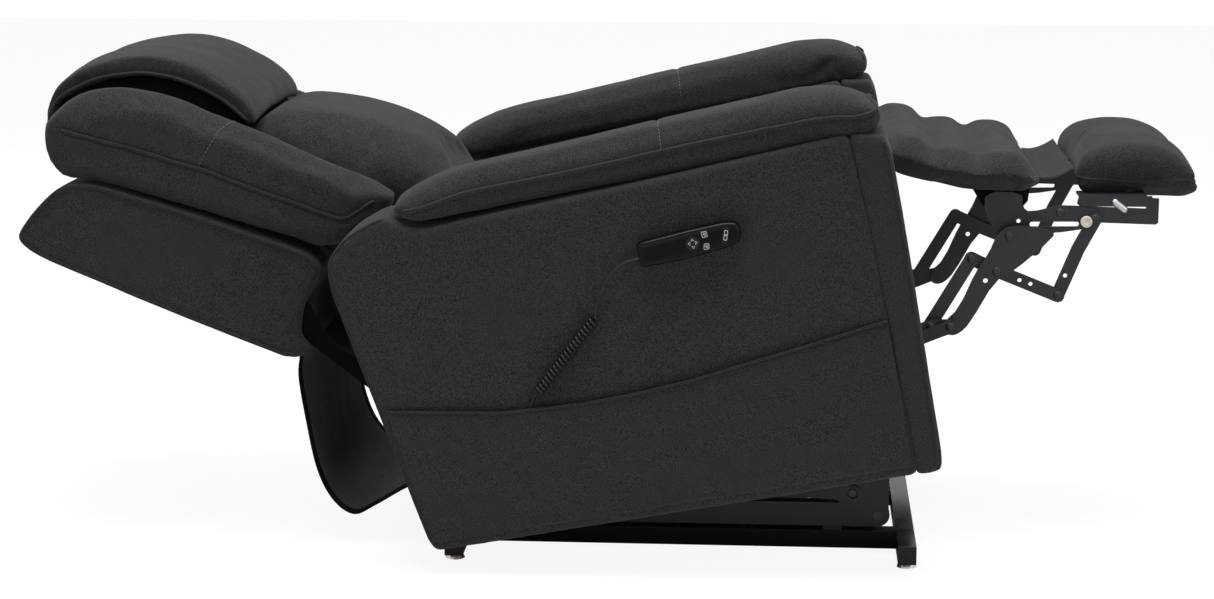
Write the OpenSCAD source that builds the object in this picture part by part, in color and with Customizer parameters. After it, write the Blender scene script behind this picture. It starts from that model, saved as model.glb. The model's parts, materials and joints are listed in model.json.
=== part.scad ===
// Lift recliner chair, shown with its seat tilted, its back down and its footrest out.
// +X is forward, +Y is to the sitter's left, +Z is up. Heights are measured from the floor.

/* [Overall] */
// Width over the two arms
chair_w = 870; // [780:5:960]
// Width of one arm box
arm_w = 143; // [110:1:160]
// Height of the arm boxes' lower edge with the seat level
arm_floor_gap = 46; // [40:1:70]
// Height of the seat deck with the seat level
seat_z = 395; // [385:1:420]
// Angle by which the seat is tilted back
tilt = 10.5; // [0:0.5:10.5]
// Angle of the back from upright, over the seat
back_lean = 68; // [50:1:68]

/* [Base] */
// Side of the square base tubes
base_tube = 30; // [25:1:35]
// Wall of the base tubes
base_wall = 2; // [1.5:0.5:3]
// Height of the levelling glides
glide_h = 9; // [6:1:16]
// Diameter of a glide's foot
glide_d = 32; // [24:1:40]
// Length of the two cross tubes
cross_len = 700; // [640:10:760]
// Distance between the centres of the two cross tubes
base_len = 741; // [700:1:800]

/* [Lift] */
// Height of the lower arm's tube
arm_tube_h = 40; // [30:1:45]
// Width of the lower arm's tube
arm_tube_w = 26; // [20:1:26]
// Diameter of the lift's pivot bolts
bolt_d = 14; // [10:1:16]
// Running clearance round a pivot, on the radius
pivot_play = 0.06; // [0.02:0.01:0.1]
// Thickness of the lift plates
lift_plate = 4.4; // [3:0.1:4.6]

/* [Footrest linkage] */
// Thickness of a link plate
link_t = 3.5; // [2.5:0.1:3.6]
// Gap between neighbouring link plates
link_gap = 0.5; // [0.4:0.1:1]
// Width of a link bar
link_w = 22; // [18:1:24]
// Diameter of a rivet's shank
rivet_d = 8; // [6:0.5:9]
// Half width of the foot pad
foot_half = 190; // [150:5:193]
// Half width of the leg rest pad
leg_half = 262; // [220:1:262]

/* [Upholstery] */
// Half width of the seat cushion
seat_half = 288; // [240:1:289]
// Half width of the back over its outer cover
back_half = 283; // [240:1:284]
// Half width of the lumbar cushion and the head pillow
lumbar_half = 196; // [150:1:197]
// Radius by which a cushion's ends are rounded
soft_round = 30; // [15:1:40]

/* [Handset] */
// Length of the handset
handset_l = 162; // [150:1:170]
// Thickness of the handset
handset_t = 24; // [18:1:30]
// Diameter of the handset's cord
cord_d = 4.6; // [3.5:0.1:5]
// Outer diameter of the curled cord
curl_d = 19; // [16:0.5:22]
// Number of curls
curls = 21; // [12:1:24]

/* [Hidden] */
$fn = 40;
steel = [0.60, 0.60, 0.63];
black = [0.12, 0.12, 0.13];
cloth = [0.42, 0.41, 0.40];
wood = [0.72, 0.60, 0.44];
plastic = [0.16, 0.16, 0.17];

half_w = chair_w/2;
arm_in = half_w - arm_w;
// The origin lies under the middle of the whole chair's box
front_reach = 985;
rear_reach = 969.3;
place_x = (rear_reach - front_reach)/2;
panel_out = half_w - 2;
button_proud = 1.6;
place_y = (panel_out + 0.3 + handset_t + button_proud - half_w)/2;
top_of_base = glide_h + base_tube;

// Places of the base: rails carry the lift, cross tubes carry the rails
front_x = 513;
rear_x = front_x - base_len;
rail_y = 249;

// Lift: each pivot is [x, z] with the chair as shown
arm_rear = [-160, 66];
arm_front = [467, 66];
link_rear = [-200, 143];
link_front = [425, 105];
rail_in = rail_y - arm_tube_w/2;
rail_out = rail_y + arm_tube_w/2;
plate_in = rail_out + 0.6;
lift_rail_z = 93;
lift_rail_h = 42;

// The seat body tilts about this pivot
tilt_at = [-225, 98];
// The back turns about this pivot of the level seat body
back_at = [-300, 278];

// Actuators: each rear and front pivot, and its place across the chair
eye_w = 16;
lift_act_rear = [430, 45];
lift_act_front = [0, 120];
lift_act_y = 0;
arm_cross = [-110, 66];
frame_cross = [-90, 108];
tilt_act_rear = [-60, 118];
tilt_act_front = [217, 158];
tilt_act_y = -120;
tilt_cross = [249, 168];
back_act_rear = [-60, 200];
back_act_front = [-312, 347];
back_act_y = 110;
back_cross = [-28, 206];
foot_act_rear = [165.5, 291];
foot_act_front = [494, 203];
foot_act_y = 247;

// Footrest pivots in the level seat body, with the footrest out
drive_at = [450, 193];
follow_at = [419, 198];
p1 = [586, 233];
p2 = [617, 228];
p3 = [670, 331];
p4 = [707, 304];
p5 = [736, 358];
p6 = [799, 246];
kink = [843, 316];
p7 = [878, 361];
p8 = [824, 380];
// Plates lie in layers from the middle outward
layer0 = 197;
side_in = arm_in - 20;

// ---------- general shapes ----------

// Moves a point of the level seat body to its place in the tilted chair, and back
function tilted(p) = let (d = p - tilt_at)
    tilt_at + [d.x*cos(tilt) - d.y*sin(tilt), d.x*sin(tilt) + d.y*cos(tilt)];
function levelled(p) = let (d = p - tilt_at)
    tilt_at + [d.x*cos(tilt) + d.y*sin(tilt), -d.x*sin(tilt) + d.y*cos(tilt)];

// Puts the chair over the origin
module placed() {
    translate([place_x, place_y, 0]) children();
}

// Tilts the level seat body back about its pivot
module seat_body() {
    placed() translate([tilt_at.x, 0, tilt_at.y]) rotate([0, -tilt, 0])
        translate([-tilt_at.x, 0, -tilt_at.y]) children();
}

// The back's own frame: +X is its front, +Z runs up the back from its pivot
module back_body() {
    seat_body() translate([back_at.x, 0, back_at.y]) rotate([0, -back_lean, 0]) children();
}

// The same piece on both sides of the chair
module both() {
    children();
    mirror([0, 1, 0]) children();
}

// A flat plate in the XZ plane from y0 outward
module plate(y0, t) {
    translate([0, y0 + t, 0]) rotate([90, 0, 0]) linear_extrude(t) children();
}

function unit(v) = v/norm(v);
function side_of(a, b) = let (u = unit(b - a)) [-u.y, u.x];

// A straight bar with round ends between two points
module bar(a, b, w) {
    n = side_of(a, b)*w/2;
    translate(a) circle(d = w);
    translate(b) circle(d = w);
    polygon([a + n, a - n, b - n, b + n]);
}

module hole(p, d) {
    translate(p) circle(d = d);
}

// A round pin along Y from y0 to y1
module pin(p, d, y0, y1) {
    translate([p.x, y1, p.y]) rotate([90, 0, 0]) cylinder(d = d, h = y1 - y0);
}

function layer_y(k) = layer0 + k*(link_t + link_gap);

module link_plate(k) {
    plate(layer_y(k), link_t) children();
}

// A rivet through layers k0 to k1
module rivet(p, k0, k1) {
    pin(p, rivet_d, layer_y(k0), layer_y(k1) + link_t);
}

pivot_hole_d = rivet_d + 2*pivot_play;

// Rounds a closed outline by cutting its corners n times
function cut_corners(p, n) = n == 0 ? p :
    cut_corners([for (i = [0:len(p) - 1]) let (q = p[(i + 1) % len(p)])
        each [0.75*p[i] + 0.25*q, 0.25*p[i] + 0.75*q]], n - 1);

function middle(p) = let (n = len(p)) [for (i = [0:n - 1]) 1]*p/n;

// Moves an outline towards its middle by d
function draw_in(p, d) = let (c = middle(p))
    [for (q = p) let (r = norm(q - c)) c + (q - c)*max(0.35, (r - d)/r)];

// Lofts rings of equal length into one closed solid with triangle faces
module skin(rings) {
    m = len(rings);
    n = len(rings[0]);
    ends = [middle(rings[0]), middle(rings[m - 1])];
    polyhedron(
        points = concat([for (r = rings) each r], ends),
        faces = concat(
            [for (j = [0:m - 2], i = [0:n - 1]) let (k = (i + 1) % n)
                each [[j*n + i, j*n + k, (j + 1)*n + k], [j*n + i, (j + 1)*n + k, (j + 1)*n + i]]],
            [for (i = [0:n - 1]) [m*n, (i + 1) % n, i]],
            [for (i = [0:n - 1]) [m*n + 1, (m - 1)*n + i, (m - 1)*n + (i + 1) % n]]));
}

// Lowers the side of an outline that faces v by d, and leaves the other side
function eased(p, v, d) = let (c = middle(p), reach = max([for (q = p) (q - c)*v]))
    [for (q = p) q - v*d*max(0, (q - c)*v)/reach];

// A cushion: an outline in XZ, drawn in round its two ends, with its crown in the middle
module cushion(outline, y0, y1, round_r, crown, up = [0, 1]) {
    p = cut_corners(outline, 2);
    length = y1 - y0;
    stations = concat(
        [for (a = [0, 40, 90]) [round_r*(1 - cos(a)), round_r*(1 - sin(a))]],
        [[0.36*length, 0], [0.64*length, 0]],
        [for (a = [90, 40, 0]) [length - round_r*(1 - cos(a)), round_r*(1 - sin(a))]]);
    skin([for (st = stations) let (low = crown*(1 - sin(180*st[0]/length)))
        [for (q = draw_in(eased(p, up, low), st[1])) [q.x, y0 + st[0], q.y]]]);
}

// ---------- base ----------

module square_tube(len_x, h, w, wall) {
    difference() {
        cube([len_x, w, h]);
        translate([-1, wall, wall]) cube([len_x + 2, w - 2*wall, h - 2*wall]);
    }
}

module cross_tube(x) {
    translate([x + base_tube/2, -cross_len/2, glide_h]) rotate([0, 0, 90])
        square_tube(cross_len, base_tube, base_tube, base_wall);
}

module base_frame() {
    color(black) placed() {
        cross_tube(front_x);
        cross_tube(rear_x);
        both() translate([rear_x + base_tube/2, rail_y - base_tube/2, glide_h])
            square_tube(base_len - base_tube, base_tube, base_tube, base_wall);
    }
}

module tube_end_caps() {
    color(plastic) placed() both() for (x = [front_x, rear_x]) {
        translate([x - base_tube/2, cross_len/2, glide_h]) cube([base_tube, 3, base_tube]);
        translate([x - base_tube/2 + base_wall + 0.2, cross_len/2 - 14, glide_h + base_wall + 0.2])
            cube([base_tube - 2*base_wall - 0.4, 14, base_tube - 2*base_wall - 0.4]);
    }
}

module levelling_glides() {
    color(plastic) placed() both() for (x = [front_x, rear_x])
        translate([x, cross_len/2 - glide_d/2 - 4, 0]) {
            cylinder(d1 = glide_d, d2 = glide_d - 6, h = glide_h - 3);
            translate([0, 0, glide_h - 3]) cylinder(d = 12, h = 3);
        }
}

module lug_outline(high) {
    polygon([[-206, top_of_base - 20], [-130, top_of_base - 20], [-130, 60], [-150, 88], [-206, 88]]);
    hole(arm_rear, 44);
    if (high) {
        polygon([[-213, 60], [-132, 60], [-186, 150], [-213, 146]]);
        hole(link_rear, 30);
    }
}

module base_pivot_lugs() {
    lug_t = 4;
    color(steel) placed() {
        both() {
            plate(rail_y + base_tube/2, lug_t) difference() {
                lug_outline(true);
                hole(arm_rear, bolt_d + 2*pivot_play);
                hole(link_rear, bolt_d + 2*pivot_play);
            }
            plate(rail_y - base_tube/2 - lug_t, lug_t) difference() {
                lug_outline(false);
                hole(arm_rear, bolt_d + 2*pivot_play);
            }
        }
        lug_pair(lift_act_y) difference() {
            union() {
                bar(lift_act_rear, lift_act_rear + [30, 0], 26);
                polygon([[450, 32], [front_x - base_tube/2, glide_h + 2], [front_x - base_tube/2, top_of_base],
                    [450, 58]]);
            }
            hole(lift_act_rear, 10);
        }
        pin(lift_act_rear, 10, lift_act_y - eye_w/2 - 4, lift_act_y + eye_w/2 + 4);
    }
}

module arm_saddles() {
    color(plastic) placed() both() translate([378, rail_in, top_of_base])
        cube([30, arm_tube_w, arm_front.y - arm_tube_h/2 - top_of_base - 0.3]);
}

// ---------- lift ----------

module lower_lift_arms() {
    color(steel) placed() {
        both() plate(rail_in, arm_tube_w) difference() {
            bar(arm_rear, arm_front, arm_tube_h);
            hole(arm_rear, bolt_d + 2*pivot_play);
            hole(arm_front, bolt_d + 2*pivot_play);
        }
        pin(arm_cross, 30, -rail_in - 2, rail_in + 2);
        lug_pair(lift_act_y) bar(arm_cross, lift_act_front, 26);
    }
}

module arm_pivot_bolts() {
    color(steel) placed() both() {
        pin(arm_rear, bolt_d, rail_y - base_tube/2 - 6, rail_y + base_tube/2 + 6);
        pin(link_rear, bolt_d, plate_in + 0.6, link_y + link_bar_t + 0.1);
    }
}

link_y = plate_in + lift_plate + 1.3;
link_bar_t = 3.4;

module upper_lift_links() {
    color(steel) placed() both() plate(link_y, link_bar_t) difference() {
        bar(link_rear, link_front, 26);
        hole(link_rear, bolt_d + 2*pivot_play);
        hole(link_front, 18);
    }
}

// Two plates either side of an actuator's eye
module lug_pair(y) {
    for (side = [-1, 1])
        translate([0, y + side*(eye_w/2 + 2.6), 0]) plate(-2, 4) children();
}

module lift_frame() {
    color(steel) placed() {
        both() plate(rail_in + 0.5, plate_in - rail_in - 0.5) difference() {
            union() {
                polygon([[tilt_at.x, lift_rail_z], [330, lift_rail_z], [400, lift_rail_z + 2],
                    [452, lift_rail_z + 2], [452, 150], [330, lift_rail_z + lift_rail_h],
                    [tilt_at.x, lift_rail_z + lift_rail_h]]);
                hole(tilt_at, 36);
            }
            hole(link_front, 12.2);
            hole(tilt_at, bolt_d + 2*pivot_play);
        }
        for (p = [frame_cross, [250, 122]]) pin(p, 22, -rail_in - 0.5, rail_in + 0.5);
        lug_pair(tilt_act_y) difference() {
            bar(frame_cross, tilt_act_rear, 24);
            hole(tilt_act_rear, 10);
        }
        pin(tilt_act_rear, 10, tilt_act_y - eye_w/2 - 4, tilt_act_y + eye_w/2 + 4);
    }
}

module lift_plate_outline() {
    polygon([[392, 100], [485, 66], [485, 150], [392, 150]]);
    hole(arm_front, 36);
    polygon([[392, 100], [412, 80], [438, 62], [460, 49], [485, 66]]);
}

module lift_plates() {
    color(steel) placed() both() plate(plate_in, lift_plate) difference() {
        lift_plate_outline();
        hole(arm_front, bolt_d + 2*pivot_play);
        hole(link_front, 12.2);
    }
}

module lift_bolts() {
    color(steel) placed() both() {
        pin(arm_front, bolt_d, rail_in - 1, plate_in + lift_plate + 0.6);
        pin(link_front, 12, rail_in + 1, link_y + link_bar_t + 0.1);
    }
}

// An actuator's housing: a gearbox and motor at its rear pivot, with an outer tube
module actuator_body(a, b, y, tube_l, motor_side = 1) {
    u = b - a;
    translate([a.x, y, a.y]) rotate([0, -atan2(u.y, u.x), 0]) {
        difference() {
            union() {
                translate([0, -eye_w/2, -14]) cube([30, eye_w, 28]);
                rotate([90, 0, 0]) cylinder(d = 28, h = eye_w, center = true);
                translate([30, -20, -22]) cube([50, 40, 44]);
                translate([80, 0, 0]) rotate([0, 90, 0]) cylinder(d = 32, h = tube_l - 80);
            }
            translate([86, 0, 0]) rotate([0, 90, 0]) cylinder(d = eye_w + 0.4, h = tube_l);
            rotate([90, 0, 0]) cylinder(d = 10 + 2*pivot_play, h = 60, center = true);
        }
        translate([55, motor_side*20, 0]) rotate([-90*motor_side, 0, 0]) cylinder(d = 42, h = 66);
    }
}

// An actuator's rod from inside the housing, rod_in from the rear pivot, to its front eye
module actuator_rod(a, b, y, rod_in) {
    u = b - a;
    l = norm(u);
    translate([a.x, y, a.y]) rotate([0, -atan2(u.y, u.x), 0]) difference() {
        union() {
            translate([rod_in, 0, 0]) rotate([0, 90, 0]) cylinder(d = eye_w, h = l - rod_in - 10);
            translate([l, 0, 0]) rotate([90, 0, 0]) cylinder(d = 28, h = eye_w, center = true);
        }
        translate([l, 0, 0]) rotate([90, 0, 0]) cylinder(d = 10.4, h = 60, center = true);
    }
}

module lift_actuator_body() {
    color(plastic) placed() actuator_body(lift_act_rear, lift_act_front, lift_act_y, 300);
}

module lift_actuator_rod() {
    color(steel) placed() actuator_rod(lift_act_rear, lift_act_front, lift_act_y, 110);
}

module tilt_actuator_body() {
    color(plastic) placed() actuator_body(tilt_act_rear, tilted(tilt_act_front), tilt_act_y, 200);
}

module tilt_actuator_rod() {
    color(steel) placed() actuator_rod(tilt_act_rear, tilted(tilt_act_front), tilt_act_y, 110);
}

// ---------- seat body ----------

module seat_side_outline() {
    difference() {
        polygon([[-325, 250], [-262, 60], [-180, 60], [-80, 190], [380, 190], [410, 165],
            [480, 165], [480, seat_z - 12], [-325, seat_z - 12]]);
        for (x = [-190, -10, 170]) bar([x, 300], [x + 90, 300], 60);
    }
}

module seat_frame() {
    color(wood) seat_body() {
        both() plate(side_in, arm_in - side_in) difference() {
            seat_side_outline();
            hole(back_at, bolt_d + 2*pivot_play);
        }
        translate([-266, -side_in, 104]) cube([17, 2*side_in, 42]);
    }
}

// Steel cross members of the seat body, with the eyes of its actuators
module seat_cross_members() {
    color(steel) seat_body() {
        for (p = [tilt_cross, back_cross]) pin(p, 20, -side_in, side_in);
        lug_pair(tilt_act_y) difference() {
            bar(tilt_cross, tilt_act_front, 22);
            hole(tilt_act_front, 10.4);
        }
        lug_pair(back_act_y) bar(back_cross, back_act_rear, 22);
        pin(back_act_rear, 10, back_act_y - eye_w/2 - 4, back_act_y + eye_w/2 + 4);
        both() pin(tilt_at, bolt_d, rail_in - 1, side_in);
    }
}

module seat_deck() {
    color(cloth) seat_body() translate([-130, -arm_in + 2, seat_z - 12]) cube([608, 2*arm_in - 4, 11.7]);
}

module seat_cushion() {
    color(cloth) seat_body() cushion([[88, seat_z], [484, seat_z], [490, seat_z + 18], [538, seat_z + 18],
        [550, seat_z + 40], [548, seat_z + 95], [505, seat_z + 125], [300, seat_z + 118],
        [110, seat_z + 112], [88, seat_z + 95]], -seat_half, seat_half, soft_round, 14);
}

module panel_outline() {
    polygon([[-247, arm_floor_gap], [519, arm_floor_gap], [519, 586], [216, 580], [-177, 567],
        [-222, 599], [-290, 580], [-322, 556], [-330, 534]]);
}

module side_panel(s) {
    color(cloth) seat_body() scale([1, s, 1]) plate(arm_in, arm_w - 2) panel_outline();
}

module side_panel_right() { side_panel(-1); }
module side_panel_left() { side_panel(1); }

module arm_pad(s) {
    color(cloth) seat_body() mirror([0, s < 0 ? 1 : 0, 0])
        cushion([[-224, 600], [-177, 569], [216, 582], [519, 588], [560, 592], [562, 630],
            [530, 652], [448, 664], [354, 661], [211, 654], [6, 646], [-176, 630], [-224, 614]],
            arm_in - 2, half_w, soft_round, 7);
}

module arm_pad_right() { arm_pad(-1); }
module arm_pad_left() { arm_pad(1); }

module arm_fronts() {
    color(cloth) seat_body() both() plate(arm_in, arm_w - 2)
        polygon([[519.3, 43], [557, 43], [563, 49], [563, 586], [519.3, 585]]);
}

module side_pocket() {
    inner = 7;
    wall = 2.5;
    color(cloth) seat_body() mirror([0, 1, 0]) difference() {
        plate(half_w - 2, inner + wall) polygon([[-240, 60], [516, 60], [516, 300], [377, 282],
            [295, 273], [200, 261], [107, 254], [20, 252], [-109, 258], [-270, 288], [-280, 280]]);
        plate(half_w - 3, inner + 1) polygon([[-225, 72], [504, 72], [504, 400], [-270, 400], [-262, 280]]);
    }
}

module control_box() {
    color(plastic) seat_body() translate([120, 90, seat_z - 12 - 48]) cube([150, 90, 47.7]);
}

module footrest_side_plates() {
    color(steel) seat_body() both() {
        plate(side_in - 4, 4) polygon([[330, 172], [472, 172], [472, 240], [330, 240]]);
        pin(drive_at, rivet_d, layer_y(8), side_in);
        pin(follow_at, rivet_d, layer_y(7), side_in);
    }
    color(steel) seat_body() {
        plate(side_in - 4, 4) polygon([[140, 205], [192, 205], [184, 306], [147, 306]]);
        pin(foot_act_rear, 10, foot_act_y - eye_w/2 - 3, side_in - 1);
    }
}

module footrest_actuator_body() {
    color(plastic) seat_body() actuator_body(foot_act_rear, foot_act_front, foot_act_y, 215, -1);
}

module footrest_actuator_rod() {
    color(steel) seat_body() actuator_rod(foot_act_rear, foot_act_front, foot_act_y, 180);
}

// ---------- back ----------

// Place of the actuator's front eye in the back's own frame
lever = let (d = back_act_front - back_at)
    [d.x*cos(back_lean) + d.y*sin(back_lean), -d.x*sin(back_lean) + d.y*cos(back_lean)];

module back_frame() {
    color(wood) back_body() {
        both() {
            plate(back_half - 10.3 - 18, 18) polygon([[100, 200], [150, 200], [178, 560], [140, 560]]);
            plate(264, 6) difference() {
                polygon([[-16, -16], [16, -16], [60, 120], [150, 200], [158, 300], [112, 300], [60, 170], [-16, 16]]);
                hole([0, 0], bolt_d);
            }
            pin([0, 0], bolt_d, 263, side_in + 14);
        }
        lug_pair(back_act_y) polygon([lever + [-12, -10], lever + [12, -6], [140, 220], [112, 240]]);
        translate([104, -256, 205]) cube([41.7, 512, 40]);
        translate([142, -256, 520]) cube([35.5, 512, 30]);
    }
}

module outer_back() {
    color(cloth) back_body() difference() {
        plate(-back_half, 2*back_half) polygon([[124, 665], [228, 603], [239, 551], [220, 387],
            [203, 190], [192, 166], [176, 163], [115, 179], [66, 176], [49, 151], [35, 151],
            [23, 180], [39, 275], [68, 442], [99, 600], [109, 638]]);
        plate(-back_half + 10, 2*back_half - 20) polygon([[134, 640], [250, 640], [250, 140], [45, 140],
            [50, 275], [79, 442], [110, 600]]);
    }
}

module bolster(s) {
    color(cloth) back_body() mirror([0, s < 0 ? 1 : 0, 0])
        cushion([[314, 663], [363, 633], [411, 522], [407, 426], [373, 204], [349, 118],
            [323, 60], [262, 75], [206, 165], [223, 388], [242, 552], [234, 606]],
            lumbar_half + 0.3, back_half, 25, 12, [1, 0]);
}

module bolster_right() { bolster(-1); }
module bolster_left() { bolster(1); }

module lumbar_cushion() {
    color(cloth) back_body() cushion([[330, 600], [335, 420], [360, 310], [417, 300], [423, 247],
        [400, 27], [290, 58], [220, 100], [146, 190], [178, 470], [178, 570], [210, 604]],
        -lumbar_half, lumbar_half, soft_round, 16, [1, 0]);
}

module head_pillow() {
    color(cloth) back_body() cushion([[285, 720], [347, 698], [421, 603], [470, 514], [470, 412],
        [442, 335], [420, 310], [370, 325], [345, 420], [338, 590], [330, 612], [262, 640]],
        -lumbar_half, lumbar_half, soft_round, 20, [1, 0]);
}

module lower_back_cloth() {
    color(cloth) seat_body() plate(-255, 510)
        polygon([[-450.5, 366.5], [-455, 350], [-459, 320], [-461, 290], [-462, 260], [-463, 200], [-461, 165],
            [-456, 135], [-447, 110], [-435, 92], [-420, 82], [-405, 79.5], [-390, 83], [-355, 97], [-319, 111],
            [-290, 118], [-266.3, 122], [-266.3, 125], [-291, 121], [-320, 114], [-356, 100], [-391, 86],
            [-405, 82.5], [-419, 85], [-433, 94.5], [-444.3, 111.5], [-453, 136], [-458, 165.5], [-460, 200],
            [-459, 260], [-458, 290], [-456, 320], [-452, 350], [-447.5, 366.5]]);
}

module back_actuator_body() {
    color(plastic) seat_body() actuator_body(back_act_rear, back_act_front, back_act_y, 190);
}

module back_actuator_rod() {
    color(steel) seat_body() actuator_rod(back_act_rear, back_act_front, back_act_y, 152);
}

// ---------- footrest ----------

module drive_links() {
    color(steel) seat_body() both() {
        link_plate(8) difference() {
            bar(drive_at, p2, link_w);
            hole(drive_at, pivot_hole_d);
            hole(p2, pivot_hole_d);
        }
    }
    // The left drive link carries the actuator's crank
    color(steel) seat_body() {
        plate(layer_y(8) + link_t, link_t) difference() {
            bar(drive_at, foot_act_front, link_w);
            hole(drive_at, pivot_hole_d);
            hole(foot_act_front, pivot_hole_d);
        }
    }
}

module follower_links() {
    color(steel) seat_body() both() link_plate(7) difference() {
        bar(follow_at, p1, link_w);
        hole(follow_at, pivot_hole_d);
        hole(p1, pivot_hole_d);
    }
}

module footrest_brackets() {
    color(steel) seat_body() both() {
        link_plate(6) bar(p1, p2, link_w);
        rivet(p1, 4, 7);
        rivet(p2, 5, 8);
    }
}

module support_links() {
    color(steel) seat_body() both() link_plate(4) difference() {
        bar(p1, p3, link_w);
        hole(p1, pivot_hole_d);
        hole(p3, pivot_hole_d);
    }
}

module long_curved_links() {
    color(steel) seat_body() both() {
        link_plate(5) difference() {
            polygon([for (q = cut_corners([[571, 368], [582, 362], [596, 366], [613, 384], [652, 456], [680, 470],
                [744, 528], [744, 540], [702, 547], [668, 546], [652, 530], [640, 500], [621, 472], [594, 408],
                [572, 386]], 1)) levelled(q)]);
            hole(p2, pivot_hole_d);
            hole(levelled([636, 455]), rivet_d);
        }
        rivet(p4, 3, 5);
        rivet(p5, 1, 5);
    }
}

module bell_cranks() {
    color(steel) seat_body() both() {
        link_plate(3) difference() {
            union() {
                bar(p3, p4, link_w);
                bar(p4, p6, link_w);
            }
            hole(p4, pivot_hole_d);
            for (q = [[692, 455], [710, 449]]) hole(levelled(q), 7);
        }
        rivet(p6, 2, 3);
    }
}

module diagonal_links() {
    color(steel) seat_body() both() link_plate(2) difference() {
        union() {
            bar(p6, kink, link_w);
            bar(kink, p7, link_w);
        }
        hole(levelled([766, 463]), 7);
        hole(p6, pivot_hole_d);
    }
}

module ottoman_plates() {
    color(steel) seat_body() both() {
        link_plate(1) difference() {
            polygon([for (q = cut_corners([[652, 532], [662, 513], [684, 517], [706, 534], [744, 532], [800, 541],
                [827, 552], [822, 569], [808, 573], [757, 580], [706, 566], [694, 575], [693, 600], [632, 600],
                [633, 566]], 1)) levelled(q)]);
            hole(p5, pivot_hole_d);
            hole(p7, pivot_hole_d);
            hole(levelled([688, 552]), 7);
            bar(levelled([710, 547]), levelled([782, 548]), 8);
        }
        rivet(p8, 0, 1);
        for (q = [[646, 586], [682, 588]]) pin(levelled(q), rivet_d, 185, layer_y(1) + 1);
    }
}

// The padded block under the leg rest pad lies level with the footrest out
module legrest_board() {
    color(wood) placed() difference() {
        plate(-195, 390) polygon([[612, 603.7], [705, 603.7], [703, 584], [692, 571], [642, 565], [628, 578]]);
        both() for (q = [[646, 586], [682, 588]]) pin(q, rivet_d, 184.7, 196);
    }
}

module legrest_pad() {
    color(cloth) placed() cushion([[440, 688], [480, 692], [525, 684], [548, 666], [598, 667], [612, 658],
        [690, 658], [730, 620], [708, 604], [609, 604], [536, 619], [440, 660]],
        -leg_half, leg_half, soft_round, 8);
}

module pad_flap() {
    color(cloth) placed() plate(-foot_half + 20, 2*foot_half - 40)
        polygon([[724, 616], [750, 620], [777.5, 633], [777.5, 637], [749, 624], [724, 620]]);
}

// The flipper bars turn about p8; their tops lie flat under the foot pad
pad_floor = 595;

module flipper_bars() {
    q = tilted(p8);
    color(steel) placed() both() {
        link_plate(0) difference() {
            union() {
                polygon([[738, 557], [745, 552], [910, 548], [914, 551], [914, 591], [898, 592], [893, 574],
                    [760, 578], [745, 577], [738, 570]]);
                polygon([[782, pad_floor - 14], [787, pad_floor - 18], [903, pad_floor - 18],
                    [903, pad_floor - 0.3], [785, pad_floor - 0.3]]);
                bar([836, pad_floor - 6], [866, 566], 9);
            }
            hole(q, pivot_hole_d);
        }
        translate([785, foot_half - 40, pad_floor - 0.3 - link_t]) cube([110, 50, link_t]);
    }
}

module foot_pad() {
    color(cloth) placed() cushion([[775, 612], [786, 662], [830, 678], [905, 676], [950, 656],
        [985, 618], [985, pad_floor], [795, pad_floor]], -foot_half, foot_half, soft_round, 10);
}

// ---------- handset ----------

button_in = panel_out + 0.3 + handset_t;
button_gap = 0.3;
button_deep = 3;

module on_handset() {
    seat_body() mirror([0, 1, 0]) children();
}

module four_way_outline(grow = 0) {
    hole([242, 475], 22 + 2*grow);
}

module square_outline(p, grow = 0) {
    translate(p) square(12 + 2*grow, center = true);
}

module pill_outline(grow = 0) {
    bar([292, 472], [297, 487], 10 + 2*grow);
}

upper_square = [262, 486];
lower_square = [262, 467];

handset_outline = cut_corners([[155, 488], [158, 450], [156 + handset_l, 469], [155 + handset_l, 497],
    [289, 502], [237, 498]], 2);
rim = 3;

module handset_body() {
    color(plastic) on_handset() difference() {
        union() {
            plate(panel_out + 0.3, handset_t - rim) polygon(handset_outline);
            plate(panel_out + 0.3, handset_t) polygon(draw_in(handset_outline, rim));
        }
        plate(button_in - button_deep, button_deep + 1) {
            four_way_outline(button_gap);
            square_outline(upper_square, button_gap);
            square_outline(lower_square, button_gap);
            pill_outline(button_gap);
        }
    }
}

// A button stands 1.6 mm proud and travels into its pocket
module button() {
    color(black) on_handset() plate(button_in - button_deep + 1.4, button_deep + 0.2) children();
}

module four_way_button() { button() four_way_outline(); }
module square_button_upper() { button() square_outline(upper_square); }
module square_button_lower() { button() square_outline(lower_square); }
module pill_button() { button() pill_outline(); }

// The cord's route in the level seat body: [x, out from the panel, z]
cord_run_in = [[155.5, 12, 463], [150, 12, 463], [126, 12, 459], [100, 11, 440], [80, 11, 412], [73, 11, 396],
    [70, 11, 386]];
coil_from = [69, 382];
coil_to = [-44, 277];
coil_out = curl_d/2 + 0.8;
cord_run_out = [[-50, 9, 271], [-54, 5, 266], [-57, 3.6, 260], [-60, 3.6, 250], [-64, 3.6, 205],
    [-64, 3.6, 140], [-64, 3.6, 72.3]];
curl_rings = 8;

function coil_point(t) = let (
        d = coil_to - coil_from,
        u = unit(d),
        grow = min(1, 2*t*curls, 2*(1 - t)*curls),
        r = (curl_d - cord_d)/2*grow,
        c = coil_from + d*t + [-u.y, u.x]*r*sin(360*curls*t))
    [c.x, coil_out + r*cos(360*curls*t), c.y];

cord_path = concat(cord_run_in,
    [for (i = [0:curls*curl_rings]) coil_point(i/(curls*curl_rings))], cord_run_out);

function direction(p, i) = let (a = p[max(0, i - 1)], b = p[min(len(p) - 1, i + 1)]) unit(b - a);

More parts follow.
